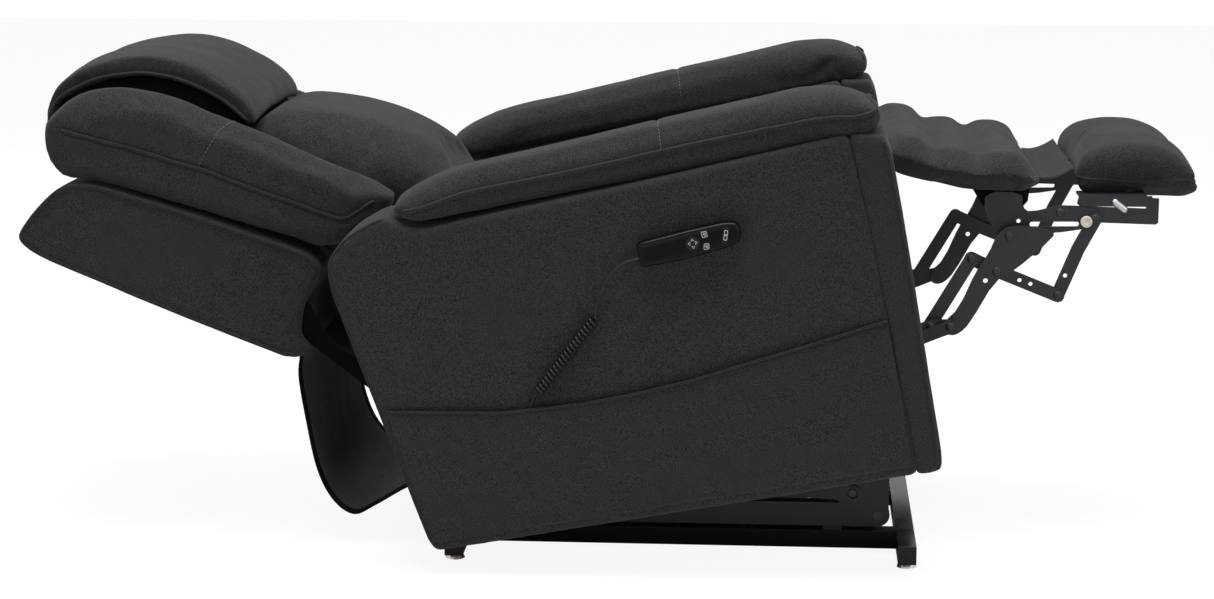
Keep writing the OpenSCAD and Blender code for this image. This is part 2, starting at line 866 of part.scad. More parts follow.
// One tube round a path, with each ring turned as little as possible from the last
module sweep(path, d, sides) {
    n = len(path);
    across = [for (i = 0, u = unit(cross(direction(path, 0), [0, 1, 0.2])); i < n; i = i + 1,
        u = i < n ? let (t = direction(path, i)) unit(u - t*(u*t)) : u) u];
    skin([for (i = [0:n - 1]) let (t = direction(path, i), u = across[i], v = cross(t, u))
        [for (k = [0:sides - 1]) path[i] + (u*cos(360*k/sides) + v*sin(360*k/sides))*d/2]]);
}

// Least gap of the cord to itself, over rings at least half a curl apart
cord_gap = min([for (i = [0:len(cord_path) - 1], j = [i + curl_rings/2 + 1:len(cord_path) - 1])
    norm(cord_path[i] - cord_path[j])]) - cord_d;
echo(least_gap_of_the_cord = cord_gap);

module handset_cord() {
    color(black) on_handset() translate([0, panel_out, 0]) sweep(cord_path, cord_d, 6);
}

base_frame();
tube_end_caps();
levelling_glides();
base_pivot_lugs();
arm_saddles();
lower_lift_arms();
arm_pivot_bolts();
upper_lift_links();
lift_frame();
lift_plates();
lift_bolts();
lift_actuator_body();
lift_actuator_rod();
tilt_actuator_body();
tilt_actuator_rod();
seat_frame();
seat_deck();
seat_cushion();
side_panel_right();
side_panel_left();
arm_pad_right();
arm_pad_left();
arm_fronts();
side_pocket();
control_box();
footrest_side_plates();
footrest_actuator_body();
footrest_actuator_rod();
seat_cross_members();
back_frame();
outer_back();
bolster_right();
bolster_left();
lumbar_cushion();
head_pillow();
lower_back_cloth();
back_actuator_body();
back_actuator_rod();
drive_links();
follower_links();
footrest_brackets();
long_curved_links();
support_links();
bell_cranks();
diagonal_links();
ottoman_plates();
legrest_board();
legrest_pad();
pad_flap();
flipper_bars();
foot_pad();
handset_body();
four_way_button();
square_button_upper();
square_button_lower();
pill_button();
handset_cord();
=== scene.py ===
import json
from math import copysign, cos, exp, pi, radians, sin, sqrt

import bmesh
import bpy
import numpy as np
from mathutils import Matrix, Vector, noise
from mathutils.bvhtree import BVHTree
from mathutils.kdtree import KDTree


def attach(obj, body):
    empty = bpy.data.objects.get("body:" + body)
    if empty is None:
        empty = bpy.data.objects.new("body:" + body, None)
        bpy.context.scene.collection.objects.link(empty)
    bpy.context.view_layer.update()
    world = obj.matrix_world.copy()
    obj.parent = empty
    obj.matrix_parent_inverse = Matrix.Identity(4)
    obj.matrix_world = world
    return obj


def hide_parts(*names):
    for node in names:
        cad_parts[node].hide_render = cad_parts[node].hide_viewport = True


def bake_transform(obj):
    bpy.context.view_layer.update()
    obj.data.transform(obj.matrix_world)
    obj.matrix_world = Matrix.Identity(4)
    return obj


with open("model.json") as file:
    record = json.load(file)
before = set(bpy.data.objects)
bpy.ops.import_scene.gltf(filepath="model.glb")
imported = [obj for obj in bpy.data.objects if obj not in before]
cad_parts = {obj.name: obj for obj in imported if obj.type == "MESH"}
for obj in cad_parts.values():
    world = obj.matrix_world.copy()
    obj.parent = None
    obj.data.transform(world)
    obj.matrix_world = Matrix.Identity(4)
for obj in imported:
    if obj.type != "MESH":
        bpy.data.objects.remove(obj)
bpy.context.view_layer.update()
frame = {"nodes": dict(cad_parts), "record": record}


# ---- Camera, floor and studio light ----
# A long lens a little above the chair's middle, on its right side.
# Large soft lamps stand above, in front and behind, over a pale floor.
scene = bpy.context.scene
look_at = Vector((-0.00785, 0.01195, 0.370))
camera_data = bpy.data.cameras.new("camera")
camera_data.lens = 77.1
camera_data.sensor_width = 36
camera_data.clip_end = 60
camera = bpy.data.objects.new("camera", camera_data)
camera.location = (0.3018, -4.4153, 1.2729)
camera.rotation_euler = (look_at - camera.location).to_track_quat("-Z", "Y").to_euler()
scene.collection.objects.link(camera)
scene.camera = camera
scene.view_settings.view_transform = "Standard"


def soft_lamp(name, place, size, watts):
    lamp = bpy.data.lights.new(name, "AREA")
    lamp.shape = "RECTANGLE"
    lamp.size, lamp.size_y = size
    lamp.energy = watts
    holder = bpy.data.objects.new(name, lamp)
    holder.location = place
    holder.rotation_euler = (look_at - Vector(place)).to_track_quat("-Z", "Y").to_euler()
    scene.collection.objects.link(holder)


soft_lamp("lamp_top", (0.2, -0.4, 3.6), (3.2, 2.4), 165)
soft_lamp("lamp_front", (3.4, -2.6, 1.6), (2.0, 2.0), 16)
soft_lamp("lamp_side", (-1.6, -4.4, 1.4), (2.6, 1.8), 9)
soft_lamp("lamp_back", (-3.2, 2.8, 2.2), (2.2, 2.0), 44)


def add_node(tree, kind, inputs=(), **settings):
    """Adds a node with its own settings; each input gets a value, or the socket that feeds it."""
    made = tree.nodes.new(kind)
    for name, value in settings.items():
        setattr(made, name, value)
    for socket, value in dict(inputs).items():
        if isinstance(value, bpy.types.NodeSocket):
            tree.links.new(value, made.inputs[socket])
        else:
            made.inputs[socket].default_value = value
    return made


room_light = 0.15
world = bpy.data.worlds.new("studio")
scene.world = world
world.use_nodes = True
sky = world.node_tree.nodes["Background"]
sky.inputs["Color"].default_value = (1, 1, 1, 1)
seen = add_node(world.node_tree, "ShaderNodeLightPath").outputs
level = seen["Is Camera Ray"]
for other in (seen["Is Glossy Ray"], seen["Is Transmission Ray"], room_light):
    level = add_node(world.node_tree, "ShaderNodeMath", {0: level, 1: other}, operation="MAXIMUM").outputs[0]
world.node_tree.links.new(level, sky.inputs["Strength"])


def mesh_piece(name, points, faces, material=None):
    """A new mesh object with its faces turned outwards."""
    mesh = bpy.data.meshes.new(name)
    mesh.from_pydata([tuple(p) for p in points], [], [tuple(f) for f in faces])
    work = bmesh.new()
    work.from_mesh(mesh)
    bmesh.ops.remove_doubles(work, verts=work.verts, dist=0.00002)
    bmesh.ops.recalc_face_normals(work, faces=work.faces)
    for face in work.faces:
        face.smooth = True
    work.to_mesh(mesh)
    work.free()
    piece = bpy.data.objects.new(name, mesh)
    scene.collection.objects.link(piece)
    if material:
        mesh.materials.append(material)
    return piece


floor = mesh_piece("floor", [(-9, -9, 0), (9, -9, 0), (9, 9, 0), (-9, 9, 0)], [(0, 1, 2, 3)])
pale = bpy.data.materials.new("pale_floor")
pale.use_nodes = True
tree = pale.node_tree
matt = tree.nodes["Principled BSDF"]
matt.inputs["Base Color"].default_value = (0.86, 0.86, 0.86, 1)
matt.inputs["Roughness"].default_value = 0.9
glow = add_node(tree, "ShaderNodeEmission", {"Strength": 1.14})
path_kind = add_node(tree, "ShaderNodeLightPath")
share = add_node(tree, "ShaderNodeMath", {0: path_kind.outputs["Is Camera Ray"], 1: 0.8}, operation="MULTIPLY")
mixed = add_node(tree, "ShaderNodeMixShader", {"Fac": share.outputs[0], 1: matt.outputs[0], 2: glow.outputs[0]})
tree.links.new(mixed.outputs[0], tree.nodes["Material Output"].inputs["Surface"])
floor.data.materials.append(pale)


# ---- Handset cord ----
# A black rubber-covered lead: straight out of the handset's end, curled like a telephone's
# in its middle, and straight again down into the side pocket, where it is clipped.
tilt = radians(10.5)
tilt_pivot = (-225, 98)
chair_shift = (-7.85, 11.95)


def on_seat(x, y, z):
    """A point in millimetres of the level seat body, in metres where the tilted chair has it."""
    dx, dz = x - tilt_pivot[0], z - tilt_pivot[1]
    return Vector((
        (tilt_pivot[0] + dx * cos(tilt) - dz * sin(tilt) + chair_shift[0]) / 1000,
        (y + chair_shift[1]) / 1000, (tilt_pivot[1] + dx * sin(tilt) + dz * cos(tilt)) / 1000))


def as_shown(x, y, z):
    """A point in millimetres of the chair as it stands, in metres."""
    return Vector(((x + chair_shift[0]) / 1000, (y + chair_shift[1]) / 1000, z / 1000))


def smooth_line(points, step):
    """A smooth line through the points, with a point about every step."""
    points = [Vector(p) for p in points]
    line = []
    for i in range(len(points) - 1):
        a, b = points[i], points[i + 1]
        before = points[i - 1] if i else a * 2 - b
        after = points[i + 2] if i + 2 < len(points) else b * 2 - a
        count = max(1, round((b - a).length / step))
        for k in range(count):
            t = k / count
            line.append(0.5 * ((2 * a) + (b - before) * t + (2 * before - 5 * a + 4 * b - after) * t * t
                               + (3 * a - before - 3 * b + after) * t ** 3))
    return line + [points[-1]]


def grain(name, colour, roughness, dark, pale, scale, depth, height, metallic=0.0, specular=0.5, sheen=0.0,
          stretch=(1, 1, 1), broad=0.25, rough=None):
    """A material with constant values, mottled at two scales from dark to pale and bumped by the finer one."""
    made = bpy.data.materials.new(name)
    made.use_nodes = True
    tree = made.node_tree
    shader = tree.nodes["Principled BSDF"].inputs
    for socket, value in (("Base Color", (*colour, 1)), ("Roughness", roughness), ("Metallic", metallic),
                          ("Specular IOR Level", specular), ("Sheen Weight", sheen), ("Sheen Roughness", 0.5)):
        shader[socket].default_value = value
    place = add_node(tree, "ShaderNodeTexCoord")
    turn = add_node(tree, "ShaderNodeMapping", {"Vector": place.outputs["Object"], "Scale": stretch})
    fine, slow = (add_node(tree, "ShaderNodeTexNoise", {"Vector": turn.outputs["Vector"], "Scale": cells,
                                                        "Detail": detail}).outputs["Fac"]
                  for cells, detail in ((scale, 3), (scale / 14, 4)))
    both = add_node(tree, "ShaderNodeMix", {"Factor": broad, 2: fine, 3: slow})
    ramp = add_node(tree, "ShaderNodeValToRGB", {"Fac": both.outputs[0]})
    for stop, at, colour in zip(ramp.color_ramp.elements, (0.5 - depth, 0.5 + depth), (dark, pale)):
        stop.position, stop.color = at, (*colour, 1)
    bump = add_node(tree, "ShaderNodeBump", {"Strength": 0.6, "Distance": height, "Height": fine})
    feeds = {"Base Color": ramp.outputs["Color"], "Normal": bump.outputs["Normal"]}
    if rough:
        span = add_node(tree, "ShaderNodeMapRange", {"Value": slow, "To Min": rough[0], "To Max": rough[1]})
        feeds["Roughness"] = span.outputs["Result"]
    for socket, feed in feeds.items():
        tree.links.new(feed, shader[socket])
    return made


def drawn_line(name, lines):
    """A curve object that runs straight from point to point of each line."""
    curve = bpy.data.curves.new(name, "CURVE")
    curve.dimensions = "3D"
    for line in lines:
        row = curve.splines.new("POLY")
        row.points.add(len(line) - 1)
        for point, place in zip(row.points, line):
            point.co = (*place, 1)
    made = bpy.data.objects.new(name, curve)
    scene.collection.objects.link(made)
    return made


def fitted(piece, body, stands_for=None):
    """Puts a piece on its body, and hides the CAD node it replaces."""
    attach(piece, body)
    if stands_for:
        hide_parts(stands_for)
    return piece


cord_rubber = grain("cord_rubber", (0.010, 0.010, 0.011), 0.35, (0.007, 0.007, 0.008), (0.014, 0.014, 0.015),
                    900, 0.2, 0.00004, specular=0.3)

panel_out = 433
cord_d = 4.6
curl_d = 19
curls = 21
curl_steps = 16
coil_from, coil_to = Vector((69, 382)), Vector((-44, 277))
coil_along = (coil_to - coil_from).normalized()


def beside_panel(x, out, z):
    return on_seat(x, -(panel_out + out), z)


run_in = smooth_line(
    [(155.5, 12, 463), (150, 12, 463), (126, 12, 459), (100, 11, 440), (80, 11, 412), (73, 11, 396), (70, 11, 386)],
    4)
coil = []
for i in range(curls * curl_steps + 1):
    t = i / (curls * curl_steps)
    radius = (curl_d - cord_d) / 2 * min(1, 2 * t * curls, 2 * (1 - t) * curls)
    angle = 2 * pi * curls * t
    centre = coil_from + (coil_to - coil_from) * t
    centre += Vector((-coil_along.y, coil_along.x)) * radius * sin(angle)
    coil.append(Vector((centre.x, curl_d / 2 + 0.8 + radius * cos(angle), centre.y)))
run_out = smooth_line([(-50, 9, 271), (-54, 5, 266), (-57, 3.6, 260), (-60, 3.6, 250), (-64, 3.6, 205),
                       (-64, 3.6, 140), (-64, 3.6, 72.3)], 4)
cord_line = [beside_panel(*p) for p in run_in + coil + run_out]
lead = drawn_line("handset_cord_lead", [cord_line])
lead.data.bevel_depth = cord_d / 2000
lead.data.bevel_resolution = 2
lead.data.use_fill_caps = True
lead.data.materials.append(cord_rubber)
fitted(lead, "seat", "handset_cord")


# ---- Upholstery cloth ----
# Charcoal napped cloth over foam and wadding, the same on the arms, the back and the pads.
# It is heathered, and its nap catches a little light at the edges.
cover_cloth = grain("charcoal_cloth", (0.030, 0.030, 0.030), 0.95, (0.013, 0.013, 0.0132), (0.056, 0.0558, 0.0555),
                    620, 0.17, 0.0008, specular=0.04, sheen=0.08, broad=0.08)
seam_cloth = grain("charcoal_welt", (0.030, 0.030, 0.030), 0.95, (0.014, 0.014, 0.0142), (0.050, 0.0498, 0.0495),
                   700, 0.16, 0.0004, specular=0.04, sheen=0.08, broad=0.1)
dust_cloth = grain("black_dust_cloth", (0.02, 0.02, 0.02), 0.9, (0.004, 0.004, 0.0041), (0.012, 0.012, 0.0122),
                   1500, 0.2, 0.0003, specular=0.03)
thread = grain("grey_thread", (0.13, 0.13, 0.13), 0.8, (0.10, 0.10, 0.098), (0.20, 0.198, 0.192),
               2600, 0.2, 0.0001, specular=0.3)


def rounded(points, radius, span=30):
    """A closed outline with its corners turned on a small radius and its long sides divided."""
    n = len(points)
    line = []
    for i in range(n):
        before, here, after = Vector(points[i - 1]), Vector(points[i]), Vector(points[(i + 1) % n])
        a, b = before - here, after - here
        reach = min(radius, 0.45 * a.length, 0.45 * b.length)
        a, b = here + a.normalized() * reach, here + b.normalized() * reach
        line += [a * (1 - t) ** 2 + here * 2 * t * (1 - t) + b * t ** 2 for t in (0, 0.25, 0.5, 0.75, 1)]
    full = []
    for a, b in zip(line, line[1:] + line[:1]):
        count = max(1, round((b - a).length / span))
        full += [tuple(a + (b - a) * k / count) for k in range(count)]
    return full


def flowing(points, step=9):
    """A closed smooth outline through the points."""
    n = len(points)
    wrapped = [Vector((*points[i % n], 0)) for i in range(-1, n + 2)]
    line = smooth_line(wrapped, step)
    first = min(range(len(line)), key=lambda i: (line[i] - wrapped[1]).length)
    last = min(range(first + n, len(line)), key=lambda i: (line[i] - wrapped[n + 1]).length)
    return [(p.x, p.y) for p in line[first:last]]


def drawn_in(points, by):
    """An outline moved inwards by the same distance all round."""
    n = len(points)
    area = sum(points[i][0] * points[(i + 1) % n][1] - points[(i + 1) % n][0] * points[i][1] for i in range(n))
    side = 1 if area > 0 else -1
    moved = []
    for i in range(n):
        before, after = Vector(points[i - 1]), Vector(points[(i + 1) % n])
        along = (after - before).normalized()
        moved.append((points[i][0] - along.y * side * by, points[i][1] + along.x * side * by))
    return moved


def ring_faces(n, rings, closed=False):
    """The faces of a skin over rings of n points, with flat ends unless it closes on itself."""
    faces = [(j * n + i, j * n + (i + 1) % n, (j + 1) % rings * n + (i + 1) % n, (j + 1) % rings * n + i)
             for j in range(rings if closed else rings - 1) for i in range(n)]
    return faces if closed else faces + [range(n), [(rings - 1) * n + i for i in reversed(range(n))]]


def stacked(name, outline, levels, place, finish=None):
    """A closed form of one outline at several depths, each given as a depth and how far it is drawn in."""
    points = []
    for y, by in levels:
        points += [place(x, y, z) for x, z in (drawn_in(outline, by) if by > 0.01 else outline)]
    return mesh_piece(name, points, ring_faces(len(outline), len(levels)), finish)


def side_form(name, outline, y0, y1, round_r, place, slack=0.0, span=None):
    """A closed form with the outline in its side view, its two ends rounded over the span."""
    span = span or round_r
    y0, y1 = y0 + slack, y1 - slack
    turns = [radians(a) for a in (0, 18, 36, 54, 72, 90)]
    levels = [(y0 + span * (1 - cos(a)), round_r * (1 - sin(a))) for a in turns]
    levels += [(y1 - span * (1 - cos(a)), round_r * (1 - sin(a))) for a in reversed(turns)]
    return stacked(name, drawn_in(outline, slack), levels, place)


def height_at(points, at):
    """The height of a smooth line through the points, at each place along it."""
    line = smooth_line([Vector((a, 0, b)) for a, b in points], 6)
    return np.interp(at, [p.x for p in line], [p.z for p in line])


def arched_form(name, low, seam_line, top, y0, y1, place, slack=0.0, turn=30, arch=16, tuck=0):
    """A stuffed form with walls up to its seam and a dome above, narrowed at both ends."""
    start, end = low[0][0] + slack, low[-1][0] - slack
    along = np.linspace(start, end, max(8, round((end - start) / 9)))
    lows, seams, tops = (height_at(line, along) for line in (low, seam_line, top))
    points = []
    mid, half = (y0 + y1) / 2, (y1 - y0) / 2 - slack
    for s, z0, z1, z2 in zip(along, lows, seams, tops):
        near_end = max(0.0, 1 - min(s - start, end - s) / turn)
        wide = half - turn * 0.6 * (1 - sqrt(1 - near_end ** 2))
        z0 += slack
        z2 = max(z2 - slack, z0 + 4)
        z1 = min(max(z1, z0 + 2), z2 - 1)
        ring = [(mid - wide + tuck, z0), (mid - wide + tuck * 0.3, (z0 * 2 + z1) / 3),
                (mid - wide, (z0 + z1 * 2) / 3)]
        for k in range(arch + 1):
            turned = pi * k / arch
            c, up = cos(turned), max(0.0, sin(turned)) ** 0.75
            ring.append((mid - wide * copysign(abs(c) ** 0.85, c), z1 + (z2 - z1) * up))
        ring += [(mid + wide, (z0 + z1) / 2), (mid + wide, z0), (mid + wide / 2, z0), (mid - wide / 2 + tuck / 2, z0)]
        points += [place(s, y, z) for y, z in ring]
    return mesh_piece(name, points, ring_faces(len(ring), len(along)))


def baked(piece):
    """Makes a plain, smoothly shaded mesh of what the modifiers give."""
    seen_by = bpy.context.evaluated_depsgraph_get()
    made = bpy.data.meshes.new_from_object(piece.evaluated_get(seen_by))
    made.materials.clear()
    for finish in piece.data.materials:
        made.materials.append(finish)
    made.polygons.foreach_set("use_smooth", [True] * len(made.polygons))
    piece.modifiers.clear()
    old = piece.data
    piece.data = made
    bpy.data.meshes.remove(old)
    return piece


def in_cells(piece, size):
    """Rebuilds a form with even cells."""
    cells = piece.modifiers.new("cells", "REMESH")
    cells.mode = "VOXEL"
    cells.voxel_size = size
    return baked(piece)


def evened(piece, times, group=""):
    """Smooths a form, or only one group of its points."""
    even = piece.modifiers.new("evened", "SMOOTH")
    even.factor = 0.5
    even.iterations = times
    even.vertex_group = group
    return baked(piece)


def coords(piece):
    out = np.empty(len(piece.data.vertices) * 3)
    piece.data.vertices.foreach_get("co", out)
    return out.reshape(-1, 3)


def set_coords(piece, points):
    piece.data.vertices.foreach_set("co", np.ascontiguousarray(points).ravel())
    piece.data.update()


def plump(piece, finish, voxel=0.007, pressure=4.0, cap=0.024, walls=(), frames=20):
    """Fills a form as a stuffed cover: even cells, a run of cloth under pressure, one subdivision.
    No point moves further than cap, or past a wall, given as a point and its outward direction."""
    start = coords(in_cells(piece, voxel))
    cloth = piece.modifiers.new("cover", "CLOTH")
    cloth.settings.use_pressure = True
    cloth.settings.uniform_pressure_force = pressure
    cloth.settings.effector_weights.gravity = 0
    cloth.settings.quality = 4
    cloth.point_cache.frame_start = 1
    cloth.point_cache.frame_end = frames
    for number in range(1, frames + 1):
        scene.frame_set(number)
    seen_by = bpy.context.evaluated_depsgraph_get()
    filled = piece.evaluated_get(seen_by)
    end = np.empty(len(filled.data.vertices) * 3)
    filled.data.vertices.foreach_get("co", end)
    move = end.reshape(-1, 3) - start
    piece.modifiers.clear()
    scene.frame_set(1)
    far = np.linalg.norm(move, axis=1, keepdims=True)
    move *= np.minimum(1, cap / np.maximum(far, 1e-9))
    start = start + move
    for point, outward in walls:
        point, outward = np.array(point), np.array(outward, float)
        outward /= np.linalg.norm(outward)
        past = (start - point) @ outward
        start = start - np.outer(np.maximum(past, 0), outward)
    set_coords(piece, start)
    finer = piece.modifiers.new("finer", "SUBSURF")
    finer.levels = finer.render_levels = 1
    baked(piece).data.materials.append(finish)
    return piece


def side_walls(half):
    """Walls at the same distance to both sides of the chair's middle."""
    return [(on_seat(0, side * half, 0), (0, side, 0)) for side in (1, -1)]


def soften(piece, height, size, seed=0):
    """The slight unevenness of cloth over wadding, along each point's own direction."""
    points = coords(piece)
    normals = np.array([v.normal[:] for v in piece.data.vertices])
    lift = np.array([noise.noise(Vector(p) / size + Vector((seed, 0, 0))) * 0.7
                     + noise.noise(Vector(p) / size * 2.3 + Vector((0, seed, 0))) * 0.3 for p in points])
    set_coords(piece, points + normals * (lift * height)[:, None])
    return piece


def crowned(piece, up, drop, half, flat=0.35):
    """Lowers a form towards its two sides, so that it is crowned across the chair."""
    points = coords(piece)
    across = np.abs(points[:, 1] - chair_shift[1] / 1000) / half
    fall = np.clip((across - flat) / (1 - flat), 0, 1.2) ** 2 * drop
    set_coords(piece, points - fall[:, None] * np.array(up.normalized()))
    return piece


def seam(piece, line, width, depth):
    """Draws a sewn line into a padded piece."""
    dense = smooth_line(line, 0.003)
    tree = KDTree(len(dense))
    for i, p in enumerate(dense):
        tree.insert(p, i)
    tree.balance()
    points = coords(piece)
    normals = [v.normal.copy() for v in piece.data.vertices]
    for i, p in enumerate(points):
        gap = tree.find(Vector(p))[2]
        if gap < width * 3:
            points[i] = Vector(p) - normals[i] * depth * exp(-(gap / width) ** 2)
    set_coords(piece, points)
    return piece


def snapped(piece, line, step=0.006, lift=0.0):
    """A line laid on a piece's surface."""
    surface = BVHTree.FromPolygons([v.co for v in piece.data.vertices],
                                   [p.vertices[:] for p in piece.data.polygons])
    laid = []
    for p in smooth_line(line, step):
        place, normal, _, _ = surface.find_nearest(p)
        laid.append(place + normal * lift)
    for _ in range(2):
        laid = [laid[0]] + [(a + 2 * b + c) / 4 for a, b, c in zip(laid, laid[1:], laid[2:])] + [laid[-1]]
    return laid


def tube(name, line, radius, finish, sides=8, closed=False):
    """A closed tube along a line, with round ends."""
    n = len(line)
    points = []
    across = None
    for i, p in enumerate(line):
        before = line[i - 1] if i or closed else line[i]
        after = line[(i + 1) % n] if i + 1 < n or closed else line[i]
        along = (after - before).normalized()
        if across is None:
            across = along.cross(Vector((0.3, 0.1, 1))).normalized()
        across = (across - along * across.dot(along)).normalized()
        up = along.cross(across)
        end = 0.6 if not closed and i in (0, n - 1) else 1
        points += [p + (across * cos(2 * pi * k / sides) + up * sin(2 * pi * k / sides))
                   * radius * end for k in range(sides)]
    return mesh_piece(name, points, ring_faces(sides, n, closed), finish)


def tree_of(name, sizes, finish):
    """A node tree that takes geometry, named sizes and a material, and those inputs' sockets."""
    tree = bpy.data.node_groups.new(name, "GeometryNodeTree")
    face = tree.interface
    face.new_socket("Geometry", in_out="INPUT", socket_type="NodeSocketGeometry")
    for size, value in sizes.items():
        face.new_socket(size, in_out="INPUT", socket_type="NodeSocketFloat").default_value = value
    face.new_socket(finish, in_out="INPUT", socket_type="NodeSocketMaterial")
    face.new_socket("Geometry", in_out="OUTPUT", socket_type="NodeSocketGeometry")
    return tree, add_node(tree, "NodeGroupInput").outputs


def set_on_points(tree, points, ball, size, finish, turned=None, smooth=False):
    """Ends a tree: a ball drawn out to a size along each axis on every point, made real, in its material."""
    form = add_node(tree, "GeometryNodeMeshUVSphere", {"Segments": ball[0], "Rings": ball[1], "Radius": 0.5})
    axes = add_node(tree, "ShaderNodeCombineXYZ", dict(zip("XYZ", size)))
    feeds = {"Points": points, "Instance": form.outputs["Mesh"], "Scale": axes.outputs["Vector"]}
    if turned:
        feeds["Rotation"] = turned
    shape = add_node(tree, "GeometryNodeInstanceOnPoints", feeds).outputs["Instances"]
    for kind in ["GeometryNodeRealizeInstances"] + ["GeometryNodeSetShadeSmooth"] * smooth:
        shape = add_node(tree, kind, {"Geometry": shape}).outputs["Geometry"]
    coloured = add_node(tree, "GeometryNodeSetMaterial", {"Geometry": shape, "Material": finish})
    add_node(tree, "NodeGroupOutput", {"Geometry": coloured.outputs["Geometry"]})


stitches_along, given = tree_of(
    "stitches_along", {"Spacing": 0.006, "Stitch length": 0.004, "Thread width": 0.0009}, "Thread")
even_line = add_node(stitches_along, "GeometryNodeResampleCurve",
                     {"Curve": given["Geometry"], "Length": given["Spacing"]}, mode="LENGTH")
tangent = add_node(stitches_along, "GeometryNodeInputTangent")
with_line = add_node(stitches_along, "FunctionNodeAlignRotationToVector", {"Vector": tangent.outputs[0]}, axis="Z")
set_on_points(stitches_along, even_line.outputs["Curve"], (6, 4),
              (given["Thread width"], given["Thread width"], given["Stitch length"]), given["Thread"],
              turned=with_line.outputs["Rotation"])


def grown(name, source, tree, **values):
    """Runs a node tree on an object and keeps the result as a plain mesh."""
    made = source.modifiers.new("grow", "NODES")
    made.node_group = tree
    for item in tree.interface.items_tree:
        key = item.name.replace(" ", "_").lower()
        if item.in_out == "INPUT" and key in values:
            made[item.identifier] = values[key]
    seen_by = bpy.context.evaluated_depsgraph_get()
    mesh = bpy.data.meshes.new_from_object(source.evaluated_get(seen_by))
    bpy.data.objects.remove(source)
    piece = bpy.data.objects.new(name, mesh)
    scene.collection.objects.link(piece)
    return piece


def topstitch(name, lines, body, spacing=0.0065, stitch=0.0045, width=0.0011):
    """Rows of thread along lines that already lie on the cloth."""
    piece = grown(name, drawn_line(name + "_line", lines), stitches_along, spacing=spacing, stitch_length=stitch,
                  thread_width=width, thread=thread)
    return fitted(piece, body)


def welt(name, piece, line, body, radius=0.0035, lift=0.0):
    """A sewn welt of the same cloth, laid on a piece along a line."""
    return fitted(tube(name, snapped(piece, line, 0.008, lift), radius, seam_cloth), body)


# ---- Arm boxes: side panels ----
# Each arm is a wooden box covered in cloth over thin wadding, open to the floor below.
# The outer face is stretched flat, soft at its edges, with a welt down the rear edge.
arm_in, half_w = 292, 435
both_sides = ((-1, "right"), (1, "left"))
panel_outline = [(-261, 44), (529, 44), (523, 225), (519, 430), (508, 598), (216, 581), (-169, 565),
                 (-211, 578), (-226, 598), (-252, 592), (-294, 577), (-328, 550), (-343, 522)]


def flat_panel(name, outline, y0, y1, round_r, place, voxel=0.006, radius=10):
    """An upholstered flat panel, its edges rounded by the wadding."""
    piece = evened(in_cells(side_form(name, rounded(outline, radius), y0, y1, round_r, place), voxel), 3)
    piece.data.materials.append(cover_cloth)
    return piece


for side, word in both_sides:
    panel = flat_panel(f"arm_box_{word}", panel_outline, arm_in, half_w - 1.2, 7,
                       lambda x, y, z: on_seat(x, side * y, z), radius=14)
    shoulder = panel.vertex_groups.new(name="shoulder")
    shoulder.add([i for i, p in enumerate(coords(panel)) if p[0] < -0.25 and p[2] > 0.47], 1, "REPLACE")
    soften(evened(panel, 26, "shoulder"), 0.0013, 0.16, seed=side)
    fitted(panel, "seat", f"side_panel_{word}")
    y = side * (half_w - 4)
    welt(f"arm_box_welt_{word}", panel,
         [on_seat(x, y, z) for x, z in ((-262, 60), (-280, 150), (-301, 260), (-321, 380), (-340, 512),
                                        (-334, 545), (-302, 573), (-256, 590), (-234, 596))], "seat", 0.0026)


# ---- Arm fronts ----
# A padded strip closes the front of each arm box and ends flush under the arm pad.
front_outline = [(524, 43), (558, 43), (566, 49), (568, 70), (569, 220), (570, 420), (568, 560), (561, 588),
                 (507, 598), (514.5, 430), (518, 225)]
for side, word in both_sides:
    strip = flat_panel(f"arm_front_{word}", front_outline, arm_in, half_w - 0.5, 9,
                       lambda x, y, z: on_seat(x, side * y, z), voxel=0.005, radius=8)
    soften(strip, 0.0012, 0.10, seed=4 + side)
    fitted(strip, "seat", "arm_fronts")
    y = side * (half_w + 2)
    welt(f"arm_front_welt_{word}", strip,
         [on_seat(x, y, z) for x, z in ((556, 50), (562, 90), (563, 200), (564, 300), (565, 420), (563, 560),
                                        (559, 580))], "seat", 0.0026)


# ---- Arm pads ----
# Long stuffed pads over the arm boxes, of three sewn cloth pieces: a boxing band round the
# side, and two top pieces joined by a topstitched seam across the pad.
pad_low = [(-228, 600), (-211, 581), (-169, 567.5), (-94, 570.5), (54, 577), (201, 581), (346, 582.5),
           (490, 586), (545, 589), (562, 598), (569, 612)]
pad_seam = [(-228, 602), (-205, 600), (-187, 598), (-86, 610), (62, 614), (184, 620), (306, 625), (402, 627),
            (474, 629), (528, 622), (555, 622), (569, 618)]
pad_top = [(-228, 604), (-212, 617), (-175, 631), (-113, 641), (-63, 645), (62, 650), (212, 660), (360, 667),
           (457, 671), (505, 668), (535, 656), (557, 638), (569, 624)]


def arm_place(x, y, z):
    return on_seat(x, -y, z)


def arm_wall(x, y, z, outward):
    a, b = on_seat(x, -y, z), on_seat(x + outward[0], -y - outward[1], z + outward[2])
    return a, (b - a)


